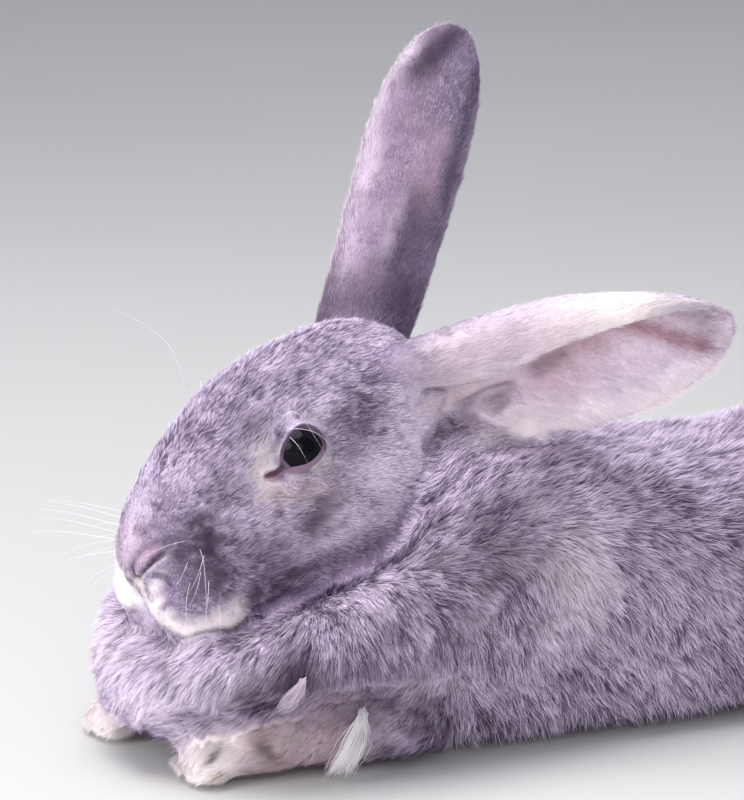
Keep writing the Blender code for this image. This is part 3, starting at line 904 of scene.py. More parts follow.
        # Adds that painted shade, and painted shade in the nostrils and along the split lip.
        marks["dark"] = 1 - (1 - marks["dark"]) * (1 - shade) * (1 - 0.97 * self.slit)
        self.mark_eyes(marks)
        self.mark_left_ear(marks)
        self.mark_right_ear(marks)
        ragged = 1 + 0.12 * ripple(self.points, 0.008, EAR_EDGES)
        self.paint(marks, EAR_MARKS, self.points, ragged, np.ones(len(u)))
        self.mark_legs(marks)
        return {key: np.clip(values, 0, 1) for key, values in marks.items()}

    def mark_eyes(self, marks):
        """Bare rims: nearly black along the upper lid, mauve below, and rosy at the inner corner."""
        gap = self.lid_gap
        rim = ease(gap, 0.0021, 0.0007)
        for side in (-1, 1):
            rear, up, out = eye_places(self.points, side).T
            near = (np.hypot(rear, up) < EYE_REACH) & (out > 0)
            above = ease(up + 0.35 * rear, -0.004, 0.001) * near
            below = (1 - above) * near
            corner = hill(np.hypot(rear + 0.0168, up + 0.0057), 0.0024) * near
            marks["pale"] *= 1 - rim * near
            marks["frost"] *= 1 - rim * near
            marks["pink"] = np.maximum(marks["pink"], rim * (0.16 * above + 0.32 * below))
            marks["dark"] = np.maximum(marks["dark"], rim * (0.88 * above + 0.56 * below))
            marks["pink"] = np.maximum(marks["pink"], 0.75 * corner)
            marks["dark"] *= 1 - 0.75 * corner
            marks["wet"] = np.maximum(marks["wet"], ease(gap, 0.0004, -0.0004) * near)

    def ear_sides(self, label, inside):
        """The share of each point on the inner side of an ear and on its outer side."""
        mine = self.surface.relaxed((self.owners == "ear_" + label) * 1.0, 3)
        inside = mine * inside
        return inside, mine - inside

    def mark_left_ear(self, marks):
        """A rosy cup with a cream lower edge, and a lavender back with a pale roll."""
        share, around, height = leaf_places(self.points)
        inside, outside = self.ear_sides("left", ease(height, -0.0003, 0.0010))
        cloudy = ripple(self.points, 0.020, EAR_CLOUDS)
        middle = hill(around - 0.50, 0.20) * ease(share, 0.16, 0.36) * ease(share, 1.0, 0.70)
        lower = ease(around, 0.74, 0.94)
        upper = ease(around, 0.34, 0.18) * ease(share, 0.40, 0.60)
        roll = hill(around - 0.12, 0.14) * ease(share, 0.02, 0.20)
        edge = hill(around, 0.05) * ease(share, 0.05, 0.2)
        # Deep in the cup at the root: painted shade.
        root = ease(share, 0.24, 0.08) * ease(around, 0.95, 0.70)
        pale_back = ease(share, 0.40, 0.70) * ease(share, 0.88, 0.74)
        silver = 0.30 * ease(share, 0.08, 0.30) + 0.35 * ease(share, 0.30, 0.60) + 0.12 * cloudy
        marks["frost"] += inside * 0.92
        marks["pink"] += inside * (0.08 + 0.26 * middle) * (1 - 0.7 * lower)
        marks["pale"] += inside * (0.16 + 0.58 * lower + 0.12 * cloudy) * (1 - 0.6 * upper)
        marks["tan"] += inside * 0.45 * upper
        marks["dark"] += inside * (0.14 * upper + 0.40 * root)
        marks["frost"] += outside * silver
        marks["pale"] += outside * (0.55 * roll + 0.35 * edge + 0.50 * pale_back)
        marks["pink"] += outside * 0.14 * roll * ease(share, 0.75, 0.45)

    def mark_right_ear(self, marks):
        """The same, with a darker back, painted shade at the root and a frosted edge."""
        share, across = ear_places(self.points, "right")[:, :2].T
        facing = ease(self.normals @ ear_axes("right")[2], -0.15, 0.25)
        inside, outside = self.ear_sides("right", facing)
        cloudy = ripple(self.points, 0.020, EAR_CLOUDS)
        middle = hill(across, 0.012) * ease(share, 0.16, 0.40) * ease(share, 1.0, 0.80)
        rim = ease(np.abs(across), 0.018, 0.025)
        marks["frost"] += inside * 0.70
        marks["pink"] += inside * (0.15 + 0.40 * middle)
        marks["pale"] += inside * 0.30
        # Both sides darken towards the root: painted shade where the ear meets the head.
        marks["dark"] += inside * 0.45 * ease(share, 0.30, 0.08)
        marks["frost"] += outside * (0.03 * cloudy + 0.45 * rim * ease(across, 0.0, -0.01))
        marks["dark"] += outside * (0.25 + 0.34 * ease(share, 0.32, 0.04))
        marks["pink"] += outside * 0.10 * ease(across, -0.004, 0.010)

    def mark_legs(self, marks):
        """Cream toes with slits of painted shade, tan paws, dark forearms and painted shade under the hem.
        """
        x, z = self.points[:, 0], self.points[:, 2]
        paws = self.is_kind["forepaw"] + self.is_kind["hindfoot"]
        toe = np.zeros(len(x))
        for name in FEET:
            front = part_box(name)[0][0]
            toe += (self.owners == name) * ease(x, front + 0.034, front + 0.012)
        toe = self.surface.relaxed(toe, 8)
        wrist = self.is_kind["foreleg"] * ease(x, -0.195, -0.225)
        forearm = self.is_kind["foreleg"] - wrist
        cloudy = 1 + 0.5 * ripple(self.points, 0.012, PAW_CLOUDS)
        marks["tan"] += paws * (1 - toe) * 0.50 * cloudy + 0.46 * wrist
        marks["frost"] += paws * 0.45 + 0.45 * wrist
        marks["pale"] += np.clip(toe * 1.2, 0, 1) + paws * (1 - toe) * 0.30 * ease(z, 0.014, 0.006)
        marks["dark"] += forearm * (0.16 + 0.14 * ripple(self.points, 0.011, FOREARM_CLOUDS))
        for key, line, width, strength in PAW_MARKS:
            marks[key] += strength * (paws + wrist) * band(mirrored(self.points), line, width)


# Markings as (kind, line in head measures with the side turned positive, width, strength), with lines
# and widths in tenths of a millimetre. Some dark ones are painted shade, each noted where it stands.
FACE_MARKS = [
    ("pale", [(660, 345, 270), (630, 345, 240), (600, 345, 170)], 68, 1.00),
    ("pale", [(836, 397, 108), (880, 400, 116), (918, 402, 146)], 34, 1.00),
    ("frost", [(860, 340, 365), (960, 375, 270)], 60, 0.60),
    ("pale", [(600, 350, 110), (800, 390, 30)], 60, 0.35),
    ("tan", [(620, 340, 100), (820, 400, -10)], 70, 0.25),
    ("frost", [(600, 400, -40), (900, 450, -120)], 180, 0.28),
    ("pale", [(3, 85, 18), (-30, 60, -70), (-45, 121, -99)], 52, 0.95),
    ("pale", [(-45, 121, -99), (-46, 225, -139), (-5, 284, -203)], 50, 0.95),
    ("pale", [(-5, 284, -203), (60, 330, -225), (122, 352, -225)], 54, 1.00),
    ("pale", [(122, 352, -255), (200, 352, -265), (215, 350, -225)], 60, 1.00),
    ("pale", [(0, 170, 20), (-40, 170, -82)], 42, 0.60),
    ("frost", [(180, 0, 260), (65, 0, 200), (30, 0, 120)], 95, 0.42),
    ("frost", [(1100, 462, -60), (1300, 450, -90), (1390, 420, 60)], 120, 0.80),
    ("frost", [(560, 370, -100), (626, 374, -202), (784, 456, -200)], 70, 0.50),
    ("frost", [(784, 456, -200), (965, 490, -270), (1080, 490, -230)], 60, 0.60),
    ("pink", [(65, 10, 200), (30, 0, 80)], 90, 0.16),
    ("pink", [(20, 80, 85), (70, 150, 140)], 34, 0.30),
    # Painted shade in the fold over the nostril and along the split lip.
    ("dark", NOSTRIL_WING, 19, 0.45),
    ("dark", [(-5, 52, 18), (-35, 25, -70), (-40, 60, -125)], 13, 0.50),
    ("dark", [(-40, 60, -125), (-40, 140, -195)], 13, 0.40),
    ("pale", NOSTRIL_LOBE, 22, 0.80),
    ("frost", [(0, 20, -180), (0, 60, -300), (60, 200, -360)], 90, 0.80),
    # Painted shade in the hollow behind the whisker pad and in the groove above it.
    ("dark", [(262, 285, 120), (248, 302, 60)], 70, 1.00),
    ("dark", [(117, 249, 89), (171, 247, 159), (250, 262, 185)], 52, 0.62),
    ("dark", [(241, 300, 100), (117, 249, 89)], 22, 0.60),
    ("dark", [(84, 299, -40), (150, 318, 0), (212, 332, -30)], 74, 0.62),
    ("dark", [(212, 332, -30), (175, 345, -92)], 64, 0.62),
    ("dark", [(360, 300, 200), (421, 260, 255), (480, 300, 230)], 62, 0.45),
    ("dark", [(765, 437, -50), (675, 405, -110)], 68, 0.92),
    ("dark", [(645, 255, 385), (590, 270, 345)], 60, 0.38),
    ("dark", [(394, 341, -65), (450, 350, -110)], 66, 0.50),
    ("dark", [(729, 265, 392), (760, 325, 370)], 55, 0.35),
    ("dark", [(115, 179, 183), (239, 215, 240)], 60, 0.22),
    ("dark", [(963, 419, 94), (874, 448, -29)], 90, 0.32),
    ("dark", [(1047, 231, 433), (1327, 173, 416)], 90, 0.20),
    # Painted shadow under the jaw, along the crease over the dewlap.
    ("dark", [(340, 368, -270), (450, 365, -300), (600, 370, -320)], 60, 0.50),
    ("dark", [(1045, 403, 200), (1060, 410, 120)], 85, 0.45),
    ("dark", [(1215, 380, 130), (1180, 350, 230)], 90, 0.28),
    # Painted shadow under the jaw, deepest by the lip corner.
    ("dark", [(330, 362, -250), (480, 380, -285)], 85, 0.85),
    ("dark", [(450, 380, -290), (1000, 470, -370)], 90, 0.50),
    ("dark", [(860, 190, 470), (700, 240, 400)], 120, 0.28),
]

# The same for the body.
BODY_MARKS = [
    ("dark", [(-1900, -850, 800), (-1730, -820, 1040), (-1400, -900, 1000)], 180, 0.42),
    ("dark", [(-1347, -784, 1233), (-1526, -735, 1245), (-1657, -780, 1135)], 130, 0.50),
    ("dark", [(-600, -900, 900), (-100, -900, 800)], 180, 0.22),
    ("frost", [(-1300, -960, 980), (-1270, -960, 760)], 150, 0.95),
    ("frost", [(-1180, -960, 900), (-1131, -953, 736)], 180, 0.80),
    ("pale", [(-1280, -960, 980), (-1180, -960, 800)], 140, 0.38),
    # Painted shade in the crease under the cheek.
    ("dark", CHEEK_SHELF[:3], 72, 0.85),
    ("frost", [(-700, -940, 800), (-500, -940, 700)], 160, 0.45),
    ("frost", [(-1720, -970, 800), (-1650, -970, 680)], 100, 0.45),
    # Paler fur, with a painted highlight, on the front of the dewlap.
    ("frost", [(-3010, 180, 540), (-3074, -95, 434), (-3038, -264, 289)], 240, 1.00),
    ("frost", [(-3000, -300, 560), (-2826, -622, 581)], 200, 0.58),
    ("dark", [(-2850, -560, 480), (-2740, -700, 500)], 120, 0.34),
    ("dark", [(-1740, -830, 1030), (-1680, -880, 930)], 120, 0.42),
    ("dark", [(-2400, -850, 730), (-2100, -860, 800)], 100, 0.24),
    ("frost", [(-1950, -860, 430), (-1800, -830, 380)], 140, 0.50),
    # Paler fur, with a painted highlight, along the top of the roll under the cheek.
    ("frost", [(-2470, -606, 841), (-2310, -723, 883), (-2142, -738, 940), (-1923, -796, 992)], 90, 0.60),
    # Painted shadow under the roll.
    ("dark", [(-2575, -795, 640), (-2600, -803, 549), (-2567, -779, 447)], 110, 0.85),
    ("dark", [(-2727, -713, 540), (-2730, -715, 478)], 70, 0.42),
    ("dark", [(-2507, -850, 600), (-2400, -880, 580)], 100, 0.50),
    ("dark", [(-2149, -922, 557), (-2050, -900, 520)], 90, 0.60),
    # Painted shadow along the hem over the forepaw.
    ("dark", [(-2890, -480, 250), (-2790, -600, 325), (-2700, -690, 375)], 68, 0.85),
    ("dark", [(-2700, -690, 375), (-2600, -740, 405), (-2500, -780, 410)], 72, 0.90),
    ("dark", [(-2490, -639, 342), (-2102, -668, 344), (-1900, -750, 300)], 80, 0.40),
    # Painted highlight on the top of the back.
    ("frost", [(-600, -300, 1300), (0, 20, 1210)], 180, 0.30),
]

# The same for the ears: the red line inside the left one's roll, with painted shadow under the roll, and
# the shades on the right one's back, with painted shade at its base.
RED_LINE = [(-950, -665, 1940), (-785, -725, 1900), (-618, -801, 1841), (-539, -846, 1818)]
EAR_MARKS = [
    # The red line: pink skin, with painted shadow under the roll in the dark row.
    ("pink", RED_LINE, 42, 0.90),
    ("dark", RED_LINE, 46, 0.34),
    ("dark", [(-618, -801, 1841), (-539, -846, 1818), (-562, -875, 1918)], 90, 0.20),
    # Painted shade, brownish, at the lip of the cup under the rolled wall.
    ("tan", [(-1130, -445, 1715), (-1064, -498, 1764), (-930, -600, 1830)], 60, 0.55),
    ("dark", [(-1150, -430, 1700), (-1064, -498, 1764)], 50, 0.34),
    ("pink", [(-1122, -424, 1640), (-1000, -500, 1680)], 110, 0.30),
    ("frost", [(-1735, -391, 1473), *EAR_FOOT], 80, 0.90),
    ("pale", EAR_FOOT, 65, 0.60),
    ("pink", EAR_FOOT, 65, 0.18),
    ("pale", [(-1440, -400, 1425), (-1335, -395, 1415), (-1240, -370, 1410)], 62, 0.95),
    ("dark", [(-1255, -335, 1535), (-1284, -316, 1510)], 42, 0.45),
    ("dark", [(-1739, -396, 1780), (-1759, -343, 1855)], 80, 0.24),
    ("dark", [(-850, -960, 2030), (-713, -1011, 2000), (-600, -1000, 1960)], 80, 0.24),
    ("dark", [(-640, -930, 1960), (-562, -875, 1918), (-494, -896, 1869)], 95, 0.26),
    ("pink", [(-640, -930, 1960), (-562, -875, 1918), (-494, -896, 1869)], 95, 0.12),
    ("frost", EAR_LOBE, 46, 0.85),
    ("pink", EAR_LOBE, 46, 0.25),
    # Painted shade in the furrow round the ear's base and in the fold under the ear.
    ("dark", EAR_FURROW, 36, 0.95),
    ("dark", EAR_FURROW[:3], 48, 0.50),
    ("dark", EAR_UNDERLINE, 26, 0.80),
    ("frost", [(-1172, 656, 3024), (-1282, 700, 2885), (-1440, 600, 2640), (-1540, 500, 2460)], 60, 0.80),
    ("dark", [(-1182, 565, 2932), (-1114, 570, 2992), (-1039, 578, 3052)], 76, 0.80),
    ("dark", [(-1114, 570, 2992), (-1039, 578, 3052), (-969, 585, 3094)], 58, 0.86),
    ("dark", [(-1182, 565, 2932), (-1228, 515, 2833), (-1328, 483, 2703)], 100, 0.28),
    ("frost", [(-1168, 388, 2633), (-1245, 349, 2527), (-1303, 295, 2376)], 75, 0.16),
    ("pink", [(-1168, 388, 2633), (-1245, 349, 2527), (-1303, 295, 2376)], 75, 0.24),
    ("dark", [(-892, 520, 2879), (-956, 467, 2748), (-1065, 394, 2577), (-1173, 323, 2361)], 40, 0.50),
    # Painted shade at the base of the right ear, where it meets the head.
    ("dark", [(-1506, 177, 1992), (-1514, 209, 2104), (-1408, 254, 2251), (-1345, 289, 2357)], 95, 0.55),
    ("dark", [(-1760, 300, 1970), (-1640, 240, 1960), (-1530, 190, 1950)], 110, 0.45),
    ("frost", [(-1544, 250, 2170), (-1412, 312, 2383)], 35, 0.40),
    ("frost", [(-1737, 328, 2035), (-1619, 443, 2287), (-1467, 568, 2585)], 70, 0.35),
]

# The same for either forepaw.
PAW_MARKS = [
    ("pale", [(-2723, -514, 217), (-2600, -560, 240), (-2480, -600, 230)], 90, 0.75),
    # Painted shadow under the dewlap's hem, on the top of the paw.
    ("dark", [(-2450, -639, 342), (-2300, -650, 340), (-2150, -652, 320)], 60, 0.55),
    # Painted shade between the toes.
    ("dark", [(-2880, -450, 60), (-2820, -480, 150), (-2765, -490, 230)], 17, 0.80),
    ("dark", [(-2600, -550, 180), (-2560, -570, 140)], 30, 0.70),
    ("pale", [(-2570, -580, 110), (-2560, -580, 50)], 50, 0.80),
    ("dark", [(-2650, -570, 60), (-2600, -580, 40)], 26, 0.50),
]


# ---------------------------------------------------------------- growing the tufts
class Bed:
    """A patch of skin that one coat piece grows from."""

    def __init__(self, coat, wanted):
        mesh = coat.surface.mesh
        mesh.calc_loop_triangles()
        corners = read(mesh.loop_triangles, "vertices", 3, np.int32)
        corners = corners[wanted[corners].all(1)]
        a, b, c = (coat.points[corners[:, k]] for k in range(3))
        self.corners = corners
        self.area = 0.5 * np.linalg.norm(np.cross(b - a, c - a), axis=1)

    def roots(self, count, crowding, chance):
        """Evenly shared root points: which triangle, and how far to each of its corners."""
        weight = self.area * crowding[self.corners].mean(1)
        total = np.cumsum(weight)
        spots = (np.arange(count) + chance.uniform(0, 1, count)) / count * total[-1]
        found = np.searchsorted(total, spots).clip(0, len(total) - 1)
        share = chance.uniform(0, 1, (count, 2))
        over = share.sum(1) > 1
        share[over] = 1 - share[over]
        shares = np.column_stack([1 - share.sum(1), share])
        return self.corners[found], shares


# Large primes, which turn a cell's three numbers into one.
CELL_FACTORS = (73856093, 19349663, 83492791)


def sampled(values, corners, shares):
    if values.ndim == 1:
        return (values[corners] * shares).sum(1)
    return (values[corners] * shares[:, :, None]).sum(1)


def locks(roots, size):
    """Groups roots into uneven cells, one to a lock. Returns each root's cell."""
    bent = roots + 0.45 * size * np.stack([ripple(roots, 2.2 * size, k) for k in LOCK_SHAPES], 1)
    cells = np.floor(bent / size).astype(np.int64)
    keys = cells * CELL_FACTORS
    return np.unique(keys[:, 0] ^ keys[:, 1] ^ keys[:, 2], return_inverse=True)[1]


def cell_means(values, cell):
    count = np.bincount(cell)
    return np.stack([np.bincount(cell, column) / count for column in values.T], 1)[cell]


# Kinds of hair: its finish, sizes of the wide and of the fine locks, and how much longer, lighter, more
# unruly and more mottled it is than usual.
HAIR = {
    "body": ("coat", 0.0090, 0.0028, 1.0, 0.0, 1.0, 1.0),
    "guard": ("coat", 0.0090, 0.0028, 1.05, 0.32, 1.4, 1.0),
    "bib": ("soft coat", 0.0090, 0.0028, 1.0, 0.0, 0.65, 0.85),
    "face": ("coat", 0.0050, 0.0014, 1.0, 0.0, 0.75, 0.84),
    "ear": ("ear velvet", 0.0060, 0.0016, 1.0, 0.0, 0.35, 0.36),
    "paw": ("coat", 0.0060, 0.0022, 1.0, 0.0, 0.8, 0.6),
}
PATCH = 0.003  # the side of one blade's patch on the bake map
MARGIN = 0.002  # and the map's margin
PATCH_CORNERS = ((0.0, 0.0), (1.0, 0.0), (0.5, 1.0))


def grow(name, coat, wanted, count, crowding, chart, hair):
    """Grows one coat piece: thin pointed blades, drawn together into locks."""
    finish, big, small, longer, lighter, unruly, mottled = HAIR[hair]
    chance = np.random.default_rng(SEED + sum(map(ord, name)))
    corners, shares = Bed(coat, wanted).roots(count, crowding, chance)
    roots = sampled(coat.points, corners, shares)
    out = unit(sampled(coat.normals, corners, shares))
    lie = sampled(coat.lie, corners, shares)
    lie = unit(lie - (lie * out).sum(1)[:, None] * out)
    length, width, lift, rest, pull = sampled(coat.styles, corners, shares).T
    length = length * longer

    # Draws for the hairs of one wide lock, of one fine lock, and for each hair by itself.
    wide_cell, fine_cell = locks(roots, big), locks(roots, small)
    wide = chance.normal(size=(wide_cell.max() + 1, 4))[wide_cell].T
    fine = chance.normal(size=(fine_cell.max() + 1, 4))[fine_cell].T
    own = chance.normal(size=(count, 5)).T
    turn = unruly * (0.15 * wide[0] + 0.13 * fine[0] + 0.15 * own[0])
    lie = np.cos(turn)[:, None] * lie + np.sin(turn)[:, None] * np.cross(out, lie)
    aside = np.cross(out, lie)
    length = length * np.clip(1 + 0.10 * wide[1] + 0.10 * fine[1] + 0.16 * own[1], 0.5, 1.6)
    lift = np.radians(lift * np.clip(1 + 0.15 * wide[2] + 0.15 * fine[2] + 0.15 * own[2], 0.4, 1.7))
    rest = np.radians(rest * np.clip(1 + 0.3 * wide[2] + 0.3 * fine[2] + 0.4 * own[2], -0.2, 2.5))

    def way(angle):
        return np.cos(angle)[:, None] * lie + np.sin(angle)[:, None] * out

    def towards(cell):
        """From each root to the middle of its lock, along the skin."""
        draw = cell_means(roots, cell) - roots
        return draw - (draw * out).sum(1)[:, None] * out

    start = roots - ROOT_DEPTH * out
    gather = pull[:, None] * (0.75 * towards(fine_cell) + 0.20 * towards(wide_cell))
    tip = start + (way(lift) * 0.38 + way(rest) * 0.62) * length[:, None] + gather
    roll = np.clip(0.55 * own[3], -1.2, 1.2)
    edge = np.sin(roll)[:, None] * out - np.cos(roll)[:, None] * aside
    half = 0.5 * width[:, None] * edge * np.clip(1 + 0.25 * own[4], 0.5, 1.6)[:, None]
    blades = np.stack([start - half, start + half, tip], 1)
    blades[:, :, 2] = np.maximum(blades[:, :, 2], HAIR_OVER_FLOOR)

    mesh = bpy.data.meshes.new(name)
    mesh.vertices.add(count * 3)
    mesh.vertices.foreach_set("co", blades.astype(np.float32).ravel())
    mesh.loops.add(count * 3)
    mesh.loops.foreach_set("vertex_index", np.arange(count * 3, dtype=np.int32))
    mesh.polygons.add(count)
    mesh.polygons.foreach_set("loop_start", np.arange(0, count * 3, 3, dtype=np.int32))
    mesh.update(calc_edges=True)
    mesh.shade_smooth()

    mottle = 0.17 * wide[3] + 0.12 * fine[3] + 0.34 * own[2]
    tone = np.clip(0.5 + lighter + mottled * mottle, 0, 1)
    write_mask(mesh, "along", np.tile((0.0, 0.0, 1.0), count))
    write_mask(mesh, "tone", np.repeat(tone, 3))
    for key, values in coat.marks.items():
        if key != "wet":
            write_mask(mesh, key, np.repeat(sampled(values, corners, shares), 3))

    spot = chart(roots, out)
    low, high = spot.min(0), spot.max(0)
    spot = MARGIN + (1 - 2 * MARGIN) * (spot - low) / (high - low) * (1 - PATCH)
    patches = spot[:, None, :] + PATCH * np.array(PATCH_CORNERS)
    layer = mesh.uv_layers.new(name="OFBake")
    layer.data.foreach_set("uv", patches.astype(np.float32).ravel())

    leaf = unit(np.cross(edge, tip - start))
    facing = unit(0.52 * out + 0.48 * leaf)
    mesh.normals_split_custom_set_from_vertices(np.repeat(facing, 3, axis=0).astype(np.float32))
    mesh.materials.append(FINISHES[finish])
    piece = link(name, mesh)
    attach(piece, "root")


def round_chart(origin, axis=(1, 0, 0), zero=(0, 0, 1)):
    """Unrolls a barrel-shaped stretch of skin: along its axis, and the angle about it."""
    axis, zero = unit(np.array(axis, float)), np.array(zero, float)
    zero = unit(zero - (zero @ axis) * axis)
    side = np.cross(axis, zero)

    def chart(roots, out):
        away = roots - np.array(origin)
        return np.column_stack([away @ axis, np.arctan2(away @ side, away @ zero)])

    return chart


CUP_CENTRE = 0.030  # how far out of the cup the middle of its curve is taken to be
INNER_TURN = 4.5  # the inner side's map stands this far from the outer side's


def leaf_chart(label):
    """Unrolls an ear: its outer side on one half of the map, its inner side on the other."""

    def chart(roots, out):
        share, across, depth = ear_places(roots, label).T
        angle = np.arctan2(across, CUP_CENTRE - depth)
        inner = out @ ear_axes(label)[2] > 0
        return np.column_stack([share, angle + np.where(inner, INNER_TURN, 0.0)])

    return chart


# How many blades each coat piece has.
BLADES = {
    "coat_head": 172000,
    "coat_trunk": 151000,
    "coat_haunch": 68000,
    "guard_hair": 19000,
    "coat_ear": 84000,
    "coat_foreleg": 30000,
    "coat_hindfoot": 16000,
    "coat_neck": 100000,
    "coat_dewlap": 180000,
    "coat_tail": 34000,
}


def grow_coat(coat):
    """All the coat pieces."""
    shown = ease(coat.normals[:, 2], -0.85, -0.35) + ease(coat.points[:, 2], 0.010, 0.025)
    even = np.clip(shown, 0.08, 1) * ease(coat.lid_gap, 0.0003, 0.0012) * (1 - 0.9 * coat.slit)
    near_nose = ease(coat.places[:, 0], 0.060, 0.010)
    crowded = even * (1 + 1.6 * near_nose + 1.2 * ease(coat.lid_gap, 0.012, 0.003))
    head, trunk = np.isin(coat.kinds, ("head", "eye")), coat.kinds == "trunk"
    long_haired = np.isin(coat.kinds, ("trunk", "hindleg", "neck"))
    body_chart = round_chart((0, 0, 0.045))
    head_chart = round_chart(from_head((0.08, 0, -0.01)), HEAD[0], HEAD[2])
    neck_chart = round_chart((-0.15, 0, 0.06))
    tail_chart = round_chart((0.30, 0, 0.07), (0.25, 0, 1), (1, 0, 0))

    def plant(piece, label, wanted, chart, hair, crowding=even):
        count = int(BLADES[piece] * (1.0))
        grow(piece + label, coat, wanted, count, crowding, chart, hair)

    for ear_label, side in SIDES:
        label = "_" + ear_label
        this_side = coat.points[:, 1] * side >= 0
        this_cheek = coat.places[:, 1] * side >= 0
        thigh, ear, foot = (coat.owners == kind + label for kind in ("hindleg", "ear", "hindfoot"))
        leg = np.isin(coat.owners, ("forepaw" + label, "foreleg" + label))
        leg_chart, foot_chart = (round_chart(np.mean(coat.points[part], 0)) for part in (leg, foot))
        plant("coat_head", label, head & this_cheek, head_chart, "face", crowded)
        plant("coat_trunk", label, trunk & this_side, body_chart, "body")
        plant("coat_haunch", label, thigh, body_chart, "body")
        plant("guard_hair", label, long_haired & this_side, body_chart, "guard")
        plant("coat_ear", label, ear, leaf_chart(ear_label), "ear")
        plant("coat_foreleg", label, leg, leg_chart, "paw")
        plant("coat_hindfoot", label, foot, foot_chart, "paw")
    plant("coat_neck", "", coat.kinds == "neck", neck_chart, "body")
    plant("coat_dewlap", "", coat.kinds == "dewlap", neck_chart, "bib")
    plant("coat_tail", "", coat.kinds == "tail", tail_chart, "body")


# ---------------------------------------------------------------- eyes
# The eyeball's colours from the middle of the front outwards: (where each starts and is full, as a share
# of the way round the ball, and its colour), over a pupil.
PUPIL = (0.0015, 0.0015, 0.0025, 1)
IRIS = ((0.0020, 0.0015, 0.0030, 1), (0.0100, 0.0070, 0.0140, 1))
EYE_RINGS = [
    (0.27, 0.31, (0.006, 0.004, 0.006, 1)),
    (0.33, 0.37, (0.17, 0.13, 0.22, 1)),
]
CORNEA_BULGE = 0.035
EYEBALL = 0.985  # the drawn ball's size against the CAD ball


def eye_finish():
    finish = Finish("wet eye")
    away = finish.mask("away")
    iris = finish.mix(finish.noise(420, 3), *IRIS)
    colour = PUPIL
    for start, full, ring in [(0.10, 0.125, iris), *EYE_RINGS]:
        colour = finish.mix(finish.ramp(away, [(start, 0.0), (full, 1.0)]), colour, ring)
    return finish.surface(colour, 0.35, Coat_Weight=0.18, Coat_Roughness=0.03, Specular_IOR_Level=0.0)


def build_eyes():
    """A ball with a clear bulge in front, turned the way the rabbit looks."""
    finish = eye_finish()
    for label, side in SIDES:
        shape = bmesh.new()
        bmesh.ops.create_uvsphere(shape, u_segments=72, v_segments=48, radius=1)
        mesh = bpy.data.meshes.new("eyeball_" + label)
        shape.to_mesh(mesh)
        shape.free()
        ball = read(mesh.vertices, "co", 3).astype(float)
        away = np.arccos(np.clip(ball[:, 2], -1, 1)) / np.pi
        bulge = CORNEA_BULGE * ease(away, 0.30, 0.05)
        rear, up, out = eye_axes(side)
        look = unit(out + 0.26 * rear + 0.10 * up)
        across = unit(np.cross(look, up))
        turned = ball @ np.array([np.cross(across, look), -across, look])
        places = EYE_MIDDLE[side] + EYE_RADIUS * EYEBALL * (1 + bulge)[:, None] * turned
        mesh.vertices.foreach_set("co", places.astype(np.float32).ravel())
        mesh.update()
        mesh.shade_smooth()
        write_mask(mesh, "away", away)
        mesh.materials.append(finish)
        eye = link("eyeball_" + label, mesh)
        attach(eye, "root")
        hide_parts("eye_" + label)


# ---------------------------------------------------------------- whiskers and claws
WHISKER_THICK = 0.00018
WISP_THICK = 0.00030
CLAW_THICK = 0.0022
THREAD_SIDES = 6
THREAD_STEPS = 18
WISP_STEPS = 7


def tube(path, thick):
    """Points and faces of a thread that thins to a point, closed at both ends."""
    sides = THREAD_SIDES
    along = unit(np.gradient(path, axis=0))
    across = unit(np.cross(along, (0.3, 0.2, 0.93)))
    rise = np.cross(along, across)
    radius = thick / 2 * np.maximum((1 - np.linspace(0, 1, len(path))) ** 0.7, 0.12)
    angle = np.linspace(0, 2 * np.pi, sides, endpoint=False)
    ring = np.cos(angle)[None, :, None] * across[:, None] + np.sin(angle)[None, :, None] * rise[:, None]
    points = (path[:, None] + radius[:, None, None] * ring).reshape(-1, 3)
    faces = []
    for start in range(0, len(points) - sides, sides):
        for j in range(sides):
            n = (j + 1) % sides
            faces.append((start + j, start + n, start + sides + n, start + sides + j))
    last = len(points) - sides
    faces += [tuple(range(sides))[::-1], tuple(range(last, last + sides))]
    return points, faces


def threads(name, paths, thick, finish, steps=THREAD_STEPS):
    """Joins many threads in one piece."""
    points, faces = [], []
    for path in paths:
        more, around = tube(curve_through(path, steps), thick)
        start = sum(map(len, points))
        faces += [[start + k for k in face] for face in around]
        points.append(more)
    mesh = mesh_from(name, np.concatenate(points), faces)
    mesh.shade_smooth()
    mesh.materials.append(finish)
    piece = link(name, mesh)
    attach(piece, "root")


def whisker_finish():
    finish = Finish("whisker")
    band = finish.noise(300, 1)
    colour = finish.mix(band, (0.82, 0.78, 0.82, 1), (0.95, 0.93, 0.95, 1))
    return finish.surface(colour, 0.35)


def claw_finish():
    finish = Finish("claw horn")
    streak = finish.noise(260, 2, (1.0, 4.0, 4.0))
    colour = finish.mix(streak, (0.30, 0.20, 0.16, 1), (0.52, 0.40, 0.34, 1))
    return finish.surface(colour, 0.35, finish.bump(streak, 0.0002, 0.4))


